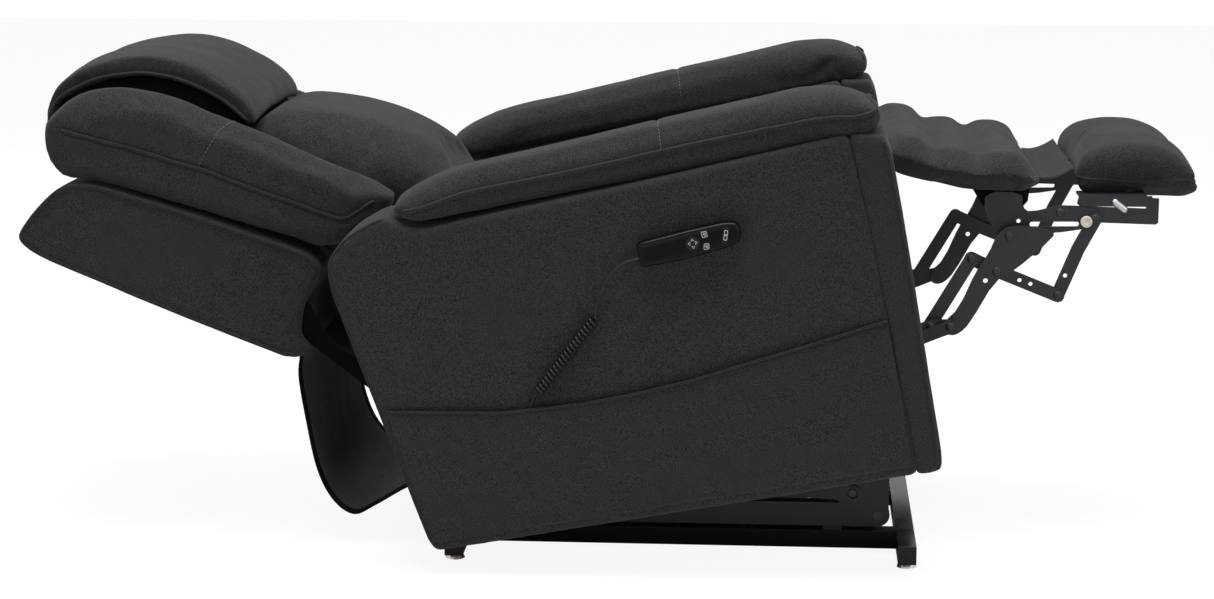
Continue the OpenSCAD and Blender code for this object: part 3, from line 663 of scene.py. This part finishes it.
pad_right = arched_form(
    "arm_pad_cushion_right", pad_low, pad_seam, pad_top, arm_in - 2, half_w + 1, arm_place, slack=6)
plump(pad_right, cover_cloth, voxel=0.006, cap=0.009,
      walls=[arm_wall(-169, 360, 566.6, (-0.035, 0, -1)), arm_wall(216, 360, 581.5, (0.012, 0, -1)),
             arm_wall(0, 285, 620, (0, -1, 0)), arm_wall(0, 441, 620, (0, 1, 0))])
upper_welt = [arm_place(x, 440, z) for x, z in pad_seam[1:-2]] + [
    arm_place(x, y, z) for x, y, z in ((564, 420, 632), (560, 390, 648), (555, 362, 654), (560, 330, 648),
                                       (564, 305, 632))]
across = [arm_place(213, y, z) for y, z in ((437, 592), (437, 620), (420, 645), (385, 662), (340, 662),
                                            (305, 645), (288, 620), (288, 596))]
seam(pad_right, upper_welt, 0.006, 0.0035)
seam(pad_right, across, 0.005, 0.0025)
soften(pad_right, 0.0018, 0.09, seed=2)


def to_left(line):
    """A line of the right side, mirrored to the left."""
    return [Vector((p.x, 2 * chair_shift[1] / 1000 - p.y, p.z)) for p in line]


def left_copy(piece, name):
    """A right-hand piece, mirrored to the left."""
    other = piece.copy()
    other.data = piece.data.copy()
    other.name = name
    scene.collection.objects.link(other)
    points = coords(other)
    points[:, 1] = 2 * chair_shift[1] / 1000 - points[:, 1]
    set_coords(other, points)
    other.data.flip_normals()
    return other


to_side = {"right": list, "left": to_left}
pad_left = left_copy(pad_right, "arm_pad_cushion_left")
for pad, word in ((pad_right, "right"), (pad_left, "left")):
    fitted(pad, "seat", f"arm_pad_{word}")
    turn = to_side[word]
    welt(f"arm_pad_welt_{word}", pad, turn(upper_welt), "seat", 0.0034, 0.0008)
    rows = [snapped(pad, turn([p + Vector((0.004, 0, 0)) for p in across[1:-1]]), 0.004, 0.0003)]
    topstitch(f"arm_pad_stitches_{word}", rows, "seat", spacing=0.0062, stitch=0.0046, width=0.0013)


# ---- Side pocket ----
# A flat cloth pocket sewn to the right arm box on three sides, hemmed along its open mouth.
pocket_low, pocket_high = 60, ((-289, 287), (-109, 258), (20, 252), (107, 254), (200, 261), (295, 273),
                               (377, 282), (516, 300))


def pocket_grid(columns, rows):
    """The pocket's cloth from its bottom edge to its hem, standing off the panel at the mouth."""
    grid = []
    for j in range(rows + 1):
        v = j / rows
        line = []
        for i in range(columns + 1):
            u = i / columns
            x_low, x_high = -258 + 778 * u, -289 + 808 * u
            x = x_low + (x_high - x_low) * v
            top = np.interp(x, *zip(*pocket_high))
            z = pocket_low + (top - 3 * sin(pi * u) - pocket_low) * v
            out = 1.2 + 6.5 * v ** 2 * sin(pi * u) ** 0.35
            out += 0.7 * sin(9 * u + 2 * v) * v * sin(pi * u)
            out += 5.4 * exp(-((x + 64) / 38) ** 2) * min(1, max(0, z - 60) / 30) * (1 - v ** 2 * 0.8)
            line.append((x, out, z))
        grid.append(line)
    return grid


def cloth_faces(columns, rows):
    """Both faces and the rim of a cloth whose points come row by row, first of one face, then of the other."""
    half = columns * rows
    faces = []
    for j in range(rows - 1):
        for i in range(columns - 1):
            a, d = j * columns + i, (j + 1) * columns + i
            faces += [(a, a + 1, d + 1, d), (half + d, half + d + 1, half + a + 1, half + a)]
    rim = list(range(columns)) + [j * columns + columns - 1 for j in range(1, rows)]
    rim += [(rows - 1) * columns + i for i in reversed(range(columns - 1))]
    rim += [j * columns for j in reversed(range(1, rows - 1))]
    return faces + [(a, b, half + b, half + a) for a, b in zip(rim, rim[1:] + rim[:1])]


cloth_t = 1.6
grid = pocket_grid(90, 26)
points = [beside_panel(x, out + cloth_t, z) for line in grid for x, out, z in line]
points += [beside_panel(x, max(0.3, out), z) for line in grid for x, out, z in line]
pocket = mesh_piece("pocket_cloth", points, cloth_faces(len(grid[0]), len(grid)), cover_cloth)
fitted(soften(pocket, 0.001, 0.07, seed=7), "seat", "side_pocket")
hem_line = [beside_panel(x, out + cloth_t, z) for x, out, z in grid[-1]]
hem = tube("pocket_hem", [p + Vector((0, -0.0006, -0.001)) for p in hem_line], 0.0024, seam_cloth)
fitted(hem, "seat")


# ---- Seat cushion and deck ----
# A foam cushion with a rolled front edge, loose between the arms on a sprung deck.
seat_outline = flowing([(90, 410), (110, 399), (300, 398), (470, 398), (492, 412), (535, 414), (556, 436),
                        (560, 475), (548, 512), (510, 530), (400, 524), (300, 516), (180, 512), (110, 505),
                        (88, 480), (84, 440)])
seat_cushion = side_form("seat_cushion_cover", seat_outline, -287, 287, 30, on_seat, slack=12)
plump(seat_cushion, cover_cloth, voxel=0.009, cap=0.015,
      walls=side_walls(289) + [(on_seat(200, 0, 396), on_seat(200, 0, 395) - on_seat(200, 0, 396))])
front_seam = [on_seat(553, y, 500) for y in range(-270, 271, 45)]
seam(seat_cushion, front_seam, 0.006, 0.004)
soften(seat_cushion, 0.003, 0.12, seed=3)
fitted(seat_cushion, "seat", "seat_cushion")
welt("seat_cushion_welt", seat_cushion, [on_seat(560, y, 505) for y in range(-270, 271, 30)], "seat", 0.0035)


# ---- Back: outer cover ----
# The back's own body: a wooden frame in a stretched cover, with a wing of cloth each side.
# Its pivot is low in the arm boxes, and it lies far back with the chair as shown.
lean = radians(68)
back_pivot = (-300, 278)


def on_back(v, y, u):
    """A point in millimetres of the back's own frame: v forward, y across, u up the back."""
    return on_seat(back_pivot[0] + v * cos(lean) - u * sin(lean), y,
                   back_pivot[1] + v * sin(lean) + u * cos(lean))


back_half = 283
outer_outline = [(126, 664), (161, 650), (203, 626), (231, 600), (241, 560), (241, 530), (227, 363), (207, 205),
                 (200, 176), (186, 161), (171, 161), (115, 176), (66, 174), (49, 151), (35, 151), (23, 180),
                 (39, 275), (68, 442), (99, 600), (110, 638)]
outer_back = flat_panel(
    "outer_back_cover", outer_outline, -back_half - 2, back_half + 2, 6, on_back, voxel=0.007, radius=7)
soften(outer_back, 0.0018, 0.14, seed=5)
fitted(outer_back, "back", "outer_back")
for side, word in both_sides:
    edge = [on_back(v, side * (back_half + 1), u) for v, u in
            ((27, 184), (42, 275), (57, 360), (71, 442), (87, 520), (102, 600), (113, 640), (126, 660),
             (161, 646), (201, 622), (228, 597), (238, 558), (237, 520), (230, 440), (222, 363), (212, 280),
             (203, 205), (196, 178), (184, 165))]
    welt(f"outer_back_welt_{word}", outer_back, edge, "back", 0.004, 0.0006)
    inner = [on_back(v, side * (back_half + 2), u) for v, u in
             ((150, 640), (192, 617), (217, 592), (227, 556), (226, 520), (219, 440), (211, 363), (201, 280),
              (192, 205))]
    seam(outer_back, inner, 0.0036, 0.0028)


# ---- Back: side bolsters ----
# A stuffed bolster runs up each side of the back from the seat to the head.
bolster_low = [(58, 320), (66, 288), (78, 256), (158, 206), (192, 204), (388, 220), (552, 232), (604, 234),
               (634, 252), (652, 284), (664, 318)]
bolster_seam = [(58, 322), (91, 312), (117, 289), (140, 272), (222, 281), (310, 293), (376, 304), (419, 306),
                (497, 313), (562, 316), (620, 319), (664, 320)]
bolster_top = [(58, 324), (76, 332), (100, 345), (136, 358), (221, 376), (265, 386), (321, 397), (362, 404),
               (389, 408), (425, 416), (469, 421), (524, 419), (562, 411), (602, 394), (633, 366), (664, 322)]
lumbar_half = 196


def back_right(v, y, u):
    return on_back(v, -y, u)


def bolster_place(u, y, v):
    return on_back(v, -y, u)


bolster_r = arched_form(
    "back_bolster_right", bolster_low, bolster_seam, bolster_top, lumbar_half + 2, back_half - 1, bolster_place,
    slack=6, turn=36, tuck=16)
plump(bolster_r, cover_cloth, voxel=0.006, cap=0.01,
      walls=[(back_right(300, lumbar_half - 8, 300), (0, 1, 0)), (back_right(300, back_half + 1, 300), (0, -1, 0))])
bolster_welt = [back_right(v, back_half + 2, u) for u, v in bolster_seam[1:-1]]
bolster_across = [back_right(v, y, u) for v, y, u in
                  ((306, 284, 381), (326, 283, 376), (356, 276, 366), (377, 268, 357), (392, 252, 346),
                   (397, 232, 342), (396, 205, 340))]
gusset = [back_right(v, back_half + 2, u) for v, u in ((308, 569), (282, 570), (246, 571))]
seam(bolster_r, bolster_welt, 0.006, 0.0036)
seam(bolster_r, bolster_across, 0.006, 0.003)
seam(bolster_r, gusset, 0.003, 0.0018)
soften(bolster_r, 0.0022, 0.09, seed=8)
bolster_l = left_copy(bolster_r, "back_bolster_left")
for bolster, word in ((bolster_r, "right"), (bolster_l, "left")):
    fitted(bolster, "back", f"bolster_{word}")
    turn = to_side[word]
    welt(f"bolster_welt_{word}", bolster, turn(bolster_welt), "back", 0.0036, 0.0008)
    above = [p + (on_back(0, 0, 5) - on_back(0, 0, 0)) for p in bolster_across]
    rows = [snapped(bolster, turn(above), 0.004, 0.0004)]
    topstitch(f"bolster_stitches_{word}", rows, "back", spacing=0.0068, stitch=0.005, width=0.0014)


# ---- Back: lumbar cushion ----
# One wide cushion from the seat to under the head pillow.
lumbar_outline = flowing([(335, 592), (340, 500), (347, 420), (362, 345), (386, 320), (404, 292), (412, 250),
                          (416, 186), (413, 128), (402, 68), (386, 24), (371, -12), (352, -44), (322, -48), (272, 20),
                          (222, 100), (160, 170), (148, 240), (165, 340), (180, 450), (184, 560), (210, 596),
                          (280, 604)])
lumbar = side_form(
    "lumbar_cushion_cover", lumbar_outline, -lumbar_half, lumbar_half, 28, on_back, slack=12, span=70)
plump(lumbar, cover_cloth, voxel=0.009, cap=0.016, walls=side_walls(lumbar_half + 4))
crowned(lumbar, on_back(1, 0, 0) - on_back(0, 0, 0), 0.024, lumbar_half / 1000)
soften(lumbar, 0.003, 0.12, seed=9)
fitted(lumbar, "back", "lumbar_cushion")


# ---- Back: head pillow ----
# A stuffed pillow over the top of the back, with a loose flap that folds over its rear edge.
pillow_outline = flowing([(300, 658), (322, 671), (346, 670), (374, 662), (406, 637), (431, 599), (447, 560),
                          (457, 525), (461, 490), (458, 440), (448, 400), (434, 364), (420, 340), (404, 325),
                          (388, 319), (376, 326), (380, 340), (396, 360), (412, 388), (424, 434), (430, 486),
                          (423, 536), (406, 583), (380, 621), (354, 648), (325, 655)])
pillow = side_form("head_pillow_cover", pillow_outline, -lumbar_half - 2, lumbar_half + 2, 9, on_back, slack=3)
plump(pillow, cover_cloth, voxel=0.006, cap=0.006)
# A black fill inside the pillow's curl is painted shade: it stands for the dark crevice under the pillow, so no pale
# gap shows through.
pillow_shade_fill = side_form("head_pillow_lining", [(296, 646), (325, 652), (353, 645), (379, 618), (404, 581), (421, 535),
                                          (428, 486), (422, 434), (410, 388), (394, 354), (377, 334), (352, 350),
                                          (336, 420), (328, 500), (322, 590), (296, 610)],
                   -lumbar_half + 12, lumbar_half - 12, 3, on_back)
for form in (pillow, pillow_shade_fill):
    crowned(form, on_back(1, 0, 0) - on_back(0, 0, 0), 0.010, lumbar_half / 1000)
flap_edge = [on_back(v - 9, -lumbar_half - 3, u) for v, u in
             ((306, 660), (328, 664), (357, 655), (384, 627), (410, 587), (427, 538), (434, 487), (429, 434),
              (416, 388), (401, 355), (385, 335))]
soften(pillow, 0.003, 0.10, seed=10)
pillow_shade_fill.data.materials.append(dust_cloth)
fitted(pillow_shade_fill, "back")
fitted(pillow, "back", "head_pillow")
welt("head_pillow_welt_right", pillow, flap_edge, "back", 0.0038)
welt("head_pillow_welt_left", pillow, to_left(flap_edge), "back", 0.0038)


# ---- Lower back cloth ----
# A black cloth joins the back's lower edge to the seat frame and hangs in a loop between them.
def hung_sheet(name, line, y0, y1, thick, place, finish, columns=40):
    """A cloth hung along a side view's line, as wide as y0 to y1, with a thickness."""
    mids = smooth_line([Vector((x, 0, z)) for x, z in line], 9)
    n = len(mids)
    points = []
    for offset in (thick / 2, -thick / 2):
        for i, p in enumerate(mids):
            along = (mids[min(n - 1, i + 1)] - mids[max(0, i - 1)]).normalized()
            q = p + Vector((-along.z, 0, along.x)) * offset
            points += [place(q.x, y0 + (y1 - y0) * k / columns, q.z) for k in range(columns + 1)]
    return mesh_piece(name, points, cloth_faces(columns + 1, n), finish)


lining = grain("grey_lining", (0.06, 0.06, 0.06), 0.9, (0.034, 0.034, 0.035), (0.066, 0.066, 0.067),
               900, 0.25, 0.0006, specular=0.04, sheen=0.1, broad=0.5)
loop_line = [(-447, 366), (-457, 330), (-460, 261), (-459, 172), (-444, 115), (-415, 84), (-377, 93),
             (-320, 114), (-268, 127)]
cloth_loop = hung_sheet("lower_back_cloth_loop", loop_line, -254, 254, 1.6, on_seat, lining)
soften(cloth_loop, 0.0022, 0.06, seed=14)
hems = []
for side, word in both_sides:
    hem = hung_sheet(f"lower_back_hem_{word}", loop_line, side * 238, side * 255, 4.2, on_seat, dust_cloth,
                     columns=4)
    hems.append(hem)
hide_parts("lower_back_cloth")
for cloth in [cloth_loop] + hems:
    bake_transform(cloth)
# A black sheet under the back's lower edge, between the outer back and the arm boxes: partly a black dust cloth
# there, partly painted shade for the dark gap.
screen = hung_sheet(
    "lower_back_cloth_screen", [(-446, 386), (-425, 379), (-401, 357), (-366, 338), (-335, 322), (-302, 312)], -254,
    254, 1.6, on_seat, dust_cloth, columns=20)
soften(screen, 0.0015, 0.06, seed=15)
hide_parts("lower_back_cloth")
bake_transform(screen)


# ---- Leg rest pad ----
# A stuffed pad on a board, sewn across into three rolls, with a flap of cloth to the foot pad.
leg_outline = flowing([(437, 682), (452, 692), (480, 692), (520, 686), (545, 671), (570, 668), (596, 667),
                       (618, 658), (645, 663), (684, 661), (714, 648), (736, 628), (738, 613), (722, 604.5),
                       (650, 604), (609, 604), (572, 612), (536, 620), (485, 634), (447, 652)])
leg_pad = side_form("leg_rest_pad_cover", leg_outline, -262, 262, 24, as_shown, slack=8, span=44)
plump(leg_pad, cover_cloth, voxel=0.008, cap=0.012, walls=side_walls(264) + [(as_shown(640, 0, 603.9), (0, 0, -1))])
for x, z in ((549, 672), (621, 660)):
    seam(leg_pad, [as_shown(x, y, z) for y in range(-262, 263, 40)], 0.014, 0.0042)
soften(leg_pad, 0.003, 0.10, seed=11)
fitted(leg_pad, "ottoman", "legrest_pad")


# ---- Foot pad ----
# The stuffed pad that flips out beyond the leg rest, with a welt low on its side.
foot_outline = flowing([(780, 598), (774, 620), (780, 647), (800, 666), (830, 675), (872, 679), (914, 675),
                        (948, 661), (974, 639), (988, 616), (991, 600), (984, 589), (960, 587.5), (880, 587.5),
                        (800, 588), (786, 590)])
foot_pad = side_form("foot_pad_cover", foot_outline, -190, 190, 20, as_shown, slack=6)
plump(foot_pad, cover_cloth, voxel=0.006, cap=0.011, walls=[(as_shown(880, 0, 587.5), (0, 0, -1))])
soften(foot_pad, 0.0025, 0.09, seed=12)
fitted(foot_pad, "flipper", "foot_pad")
foot_side = [(774, 130, 620), (786, 182, 620), (818, 192, 614), (887, 192, 611), (941, 192, 614), (966, 184, 620),
             (984, 140, 614)]
foot_round = [(774, 0, 620)] + [(x, -y, z) for x, y, z in foot_side] + [(986, 0, 612)] + foot_side[::-1]
foot_welt = [as_shown(*p) for p in foot_round + [(774, 10, 620)]]
seam(foot_pad, foot_welt, 0.006, 0.005)
welt("foot_pad_welt", foot_pad, foot_welt, "flipper", 0.0028)


# ---- Pad flap ----
# Cloth from the leg rest's nose to the foot pad, made here as one fixed sheet; on the chair it folds when the foot
# pad flips under.
flap_cloth = hung_sheet(
    "pad_flap_cloth", [(722.5, 618), (736, 617), (750, 620), (764, 626), (778, 635)], -172, 172, 3, as_shown,
    cover_cloth, columns=30)
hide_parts("pad_flap")
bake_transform(flap_cloth)


# ---- Steel, wood and plastic under the cloth ----
# Black powder-coated base, violet-grey lift frame, dark grey links, zinc pins, plywood boards coloured near-black as
# painted shade.
black_coat = grain("black_powder_coat", (0.006, 0.006, 0.0066), 0.14, (0.004, 0.004, 0.0045), (0.009, 0.009, 0.010),
                   420, 0.25, 0.00002, specular=0.16, rough=(0.1, 0.18))
grey_coat = grain("lift_powder_coat", (0.020, 0.019, 0.022), 0.34, (0.015, 0.0145, 0.017), (0.026, 0.025, 0.029),
                  380, 0.25, 0.00008, specular=0.2, rough=(0.28, 0.42))
link_coat = grain("link_coat", (0.026, 0.024, 0.028), 0.34, (0.019, 0.0175, 0.021), (0.035, 0.0325, 0.038),
                  300, 0.3, 0.0001, specular=0.3, rough=(0.28, 0.48))
zinc = grain("zinc_plate", (0.52, 0.51, 0.49), 0.3, (0.42, 0.41, 0.39), (0.62, 0.61, 0.60),
             240, 0.3, 0.00005, metallic=0.95, rough=(0.22, 0.42))
# The plywood is near-black as painted shade: the boards sit where the gap between the back and the arm boxes lies in
# deep shadow.
shade_black_plywood = grain("stained_plywood", (0.004, 0.004, 0.004), 0.7, (0.0022, 0.002, 0.002), (0.0045, 0.004, 0.004),
                90, 0.22, 0.0003, specular=0.03, stretch=(0.12, 1, 1.6), rough=(0.5, 0.75))
nickel = grain("nickel_plate", (0.62, 0.57, 0.50), 0.25, (0.52, 0.47, 0.40), (0.72, 0.67, 0.60),
               200, 0.3, 0.00004, metallic=0.95, rough=(0.18, 0.38))
black_zinc = grain("black_zinc", (0.03, 0.03, 0.031), 0.34, (0.020, 0.020, 0.021), (0.045, 0.045, 0.047),
                   300, 0.3, 0.00006, metallic=0.6, rough=(0.28, 0.46))
black_plastic = grain("black_plastic", (0.014, 0.014, 0.015), 0.45, (0.011, 0.011, 0.012), (0.020, 0.020, 0.021),
                      800, 0.2, 0.00008, specular=0.2, rough=(0.38, 0.55))
button_rubber = grain("button_rubber", (0.013, 0.013, 0.014), 0.5, (0.010, 0.010, 0.011), (0.018, 0.018, 0.019),
                      1200, 0.2, 0.00004, specular=0.15, rough=(0.42, 0.6))
finishes = {
    "black_tube": black_coat, "black_plastic": black_plastic, "grey_steel": grey_coat, "zinc_steel": zinc,
    "link_steel": link_coat, "frame_wood": shade_black_plywood, "handset_plastic": black_plastic,
    "button_rubber": button_rubber, "dust_cloth": dust_cloth, "cover_fabric": cover_cloth,
    "cushion_fabric": cover_cloth, "cord_rubber": cord_rubber}
own_finish = {"levelling_glides": nickel, "legrest_board": dust_cloth, "arm_pivot_bolts": black_zinc,
              "lift_bolts": black_zinc}
for part in frame["record"]["subparts"]:
    node = frame["nodes"][part["node"]]
    finish = own_finish.get(part["node"], finishes[part["material_slot"]])
    for kept in (node.material_slots or ()):
        kept.material = finish
    if not node.material_slots:
        node.data.materials.append(finish)


# ---- Rivets and rollers of the footrest ----
# Every pivot of the footrest linkage is a steel rivet with a low domed head on its outer side.
# A nylon roller runs in the slot of each ottoman plate.
rivet_heads, given = tree_of("rivet_heads", {"Head width": 0.014, "Head height": 0.006}, "Metal")
set_on_points(rivet_heads, given["Geometry"], (20, 10),
              (given["Head width"], given["Head height"], given["Head width"]), given["Metal"], smooth=True)


for word, body, spots in (("bracket", "footrest_brackets", [(586, 228.5, 233), (617, 232.5, 228)]),
                          ("long_link", "long_links", [(707, 220.5, 304), (736, 220.5, 358)]),
                          ("bell_crank", "bell_cranks", [(670, 216.5, 331), (799, 212.5, 246)]),
                          ("diagonal", "diagonal_links", [(878, 208.5, 361)]),
                          ("ottoman", "ottoman", [(824, 204.5, 380)])):
    name = f"{word}_rivet_heads"
    mesh = bpy.data.meshes.new(name)
    mesh.from_pydata([tuple(on_seat(x, side * y, z)) for side in (-1, 1) for x, y, z in spots], [], [])
    source = bpy.data.objects.new(name + "_points", mesh)
    scene.collection.objects.link(source)
    domes = grown(name, source, rivet_heads, head_width=0.0145, head_height=0.005, metal=black_zinc)
    fitted(domes, body)

nylon = grain("cream_nylon", (0.72, 0.66, 0.54), 0.4, (0.66, 0.60, 0.48), (0.78, 0.72, 0.61),
              300, 0.3, 0.00005, specular=0.5)


def turned(name, profile, centre, side, body, finish, slot, sides=36):
    """A part turned on a lathe about a line across the chair: the profile is (radius, depth outwards)."""
    points = [as_shown(centre[0] + r * cos(2 * pi * k / sides), side * (centre[1] + out),
                       centre[2] + r * sin(2 * pi * k / sides)) for r, out in profile for k in range(sides)]
    return fitted(mesh_piece(name, points, ring_faces(sides, len(profile)), finish), body)


for side, word in both_sides:
    turned(f"slot_roller_{word}", [(3.0, -4), (3.0, 0), (8.6, 0), (9.4, 0.4), (9.6, 1), (9.6, 2.6), (9.3, 3.2),
                                   (8.4, 3.6), (4.6, 3.6), (4.2, 3.3), (4.0, 3.0), (1.0, 3.0)],
           (797, 209, 553), side, "ottoman", nylon, "black_plastic")
    strut = tube(f"foot_pad_strut_{word}",
                 smooth_line([as_shown(x, side * 198.8, z) for x, z in ((839, 587), (851, 578), (863, 569))], 0.004),
                 0.0062, zinc, sides=20)
    fitted(strut, "flipper")


# ---- Handset ----
# A moulded two-part shell in glossy black plastic that lies against the right arm box.
# Its buttons carry thin white printed outlines.
gloss_black = grain("gloss_black", (0.004, 0.004, 0.0045), 0.2, (0.003, 0.003, 0.0032), (0.005, 0.005, 0.0055),
                    500, 0.3, 0.00002, specular=0.12)
print_white = grain("print_white", (0.62, 0.62, 0.62), 0.5, (0.55, 0.55, 0.55), (0.70, 0.70, 0.70),
                    2000, 0.2, 0.00001)
handset_outline = rounded([(154.5, 488), (155, 452), (160, 449.5), (226, 450.5), (301, 459.5), (315, 465),
                           (319.5, 483), (315, 495), (298, 499.5), (235, 496.5), (166, 490.5)], 8, span=6)
shell = stacked("handset_shell", handset_outline,
                [(panel_out + out, by) for out, by in
                 ((0.4, 2.4), (0.8, 0.9), (2, 0), (9.6, 0), (9.9, 0.5), (10.3, 0.5), (10.6, 0), (16, 0),
                  (19.6, 0.7), (21.8, 2.1), (23.2, 4.4), (23.9, 7.4), (24.2, 11), (24.3, 16))],
                arm_place, gloss_black)
fitted(evened(in_cells(shell, 0.0013), 4), "seat", "handset_body")
handset_gap, handset_t, button_proud = 0.3, 24, 1.6
print_out = panel_out + handset_gap + handset_t + button_proud


def printed(name, outlines, body, width):
    """Thin raised print on a button: closed outlines of its face."""
    made = []
    for k, outline in enumerate(outlines):
        line = [on_seat(x, -(print_out + 0.05), z) for x, z in outline]
        made.append(tube(f"{name}_{k}", line, width / 1000, print_white, sides=6, closed=True))
    work = bmesh.new()
    for piece in made:
        work.from_mesh(piece.data)
    work.to_mesh(made[0].data)
    work.free()
    for piece in made[1:]:
        bpy.data.objects.remove(piece)
    made[0].name = name
    fitted(made[0], body)


printed("four_way_print", [rounded([(234.4, 475.8), (238, 478.4), (238, 472.8)], 0.5, 2),
                           rounded([(249.6, 475.8), (246, 478.4), (246, 472.8)], 0.5, 2),
                           rounded([(242, 482.8), (239.6, 479.6), (244.4, 479.6)], 0.5, 2),
                           rounded([(242, 467.4), (239.6, 470.6), (244.4, 470.6)], 0.5, 2)],
        "four_way_button", 0.35)
printed("square_upper_print", [rounded([(257.6, 490.2), (265.6, 490.6), (266.4, 482.4), (258.8, 481.6)], 1.5, 2),
                               rounded([(260, 487.6), (264, 488), (263, 484)], 0.6, 2)], "square_button_upper", 0.5)
printed("square_lower_print", [rounded([(259.2, 471.4), (266.4, 470.8), (265.4, 462.8), (257.6, 463)], 1.5, 2),
                               rounded([(260, 468.4), (264.2, 468), (262.6, 464.6)], 0.6, 2)],
        "square_button_lower", 0.5)
printed("pill_print", [rounded([(290.2, 472.6), (294.6, 471.2), (299, 485.6), (294.6, 487.6)], 2.2, 2),
                       [(294.6 + 1.2 * cos(pi * k / 6), 479.5 + 1.2 * sin(pi * k / 6))
                        for k in range(12)]], "pill_button", 0.5)
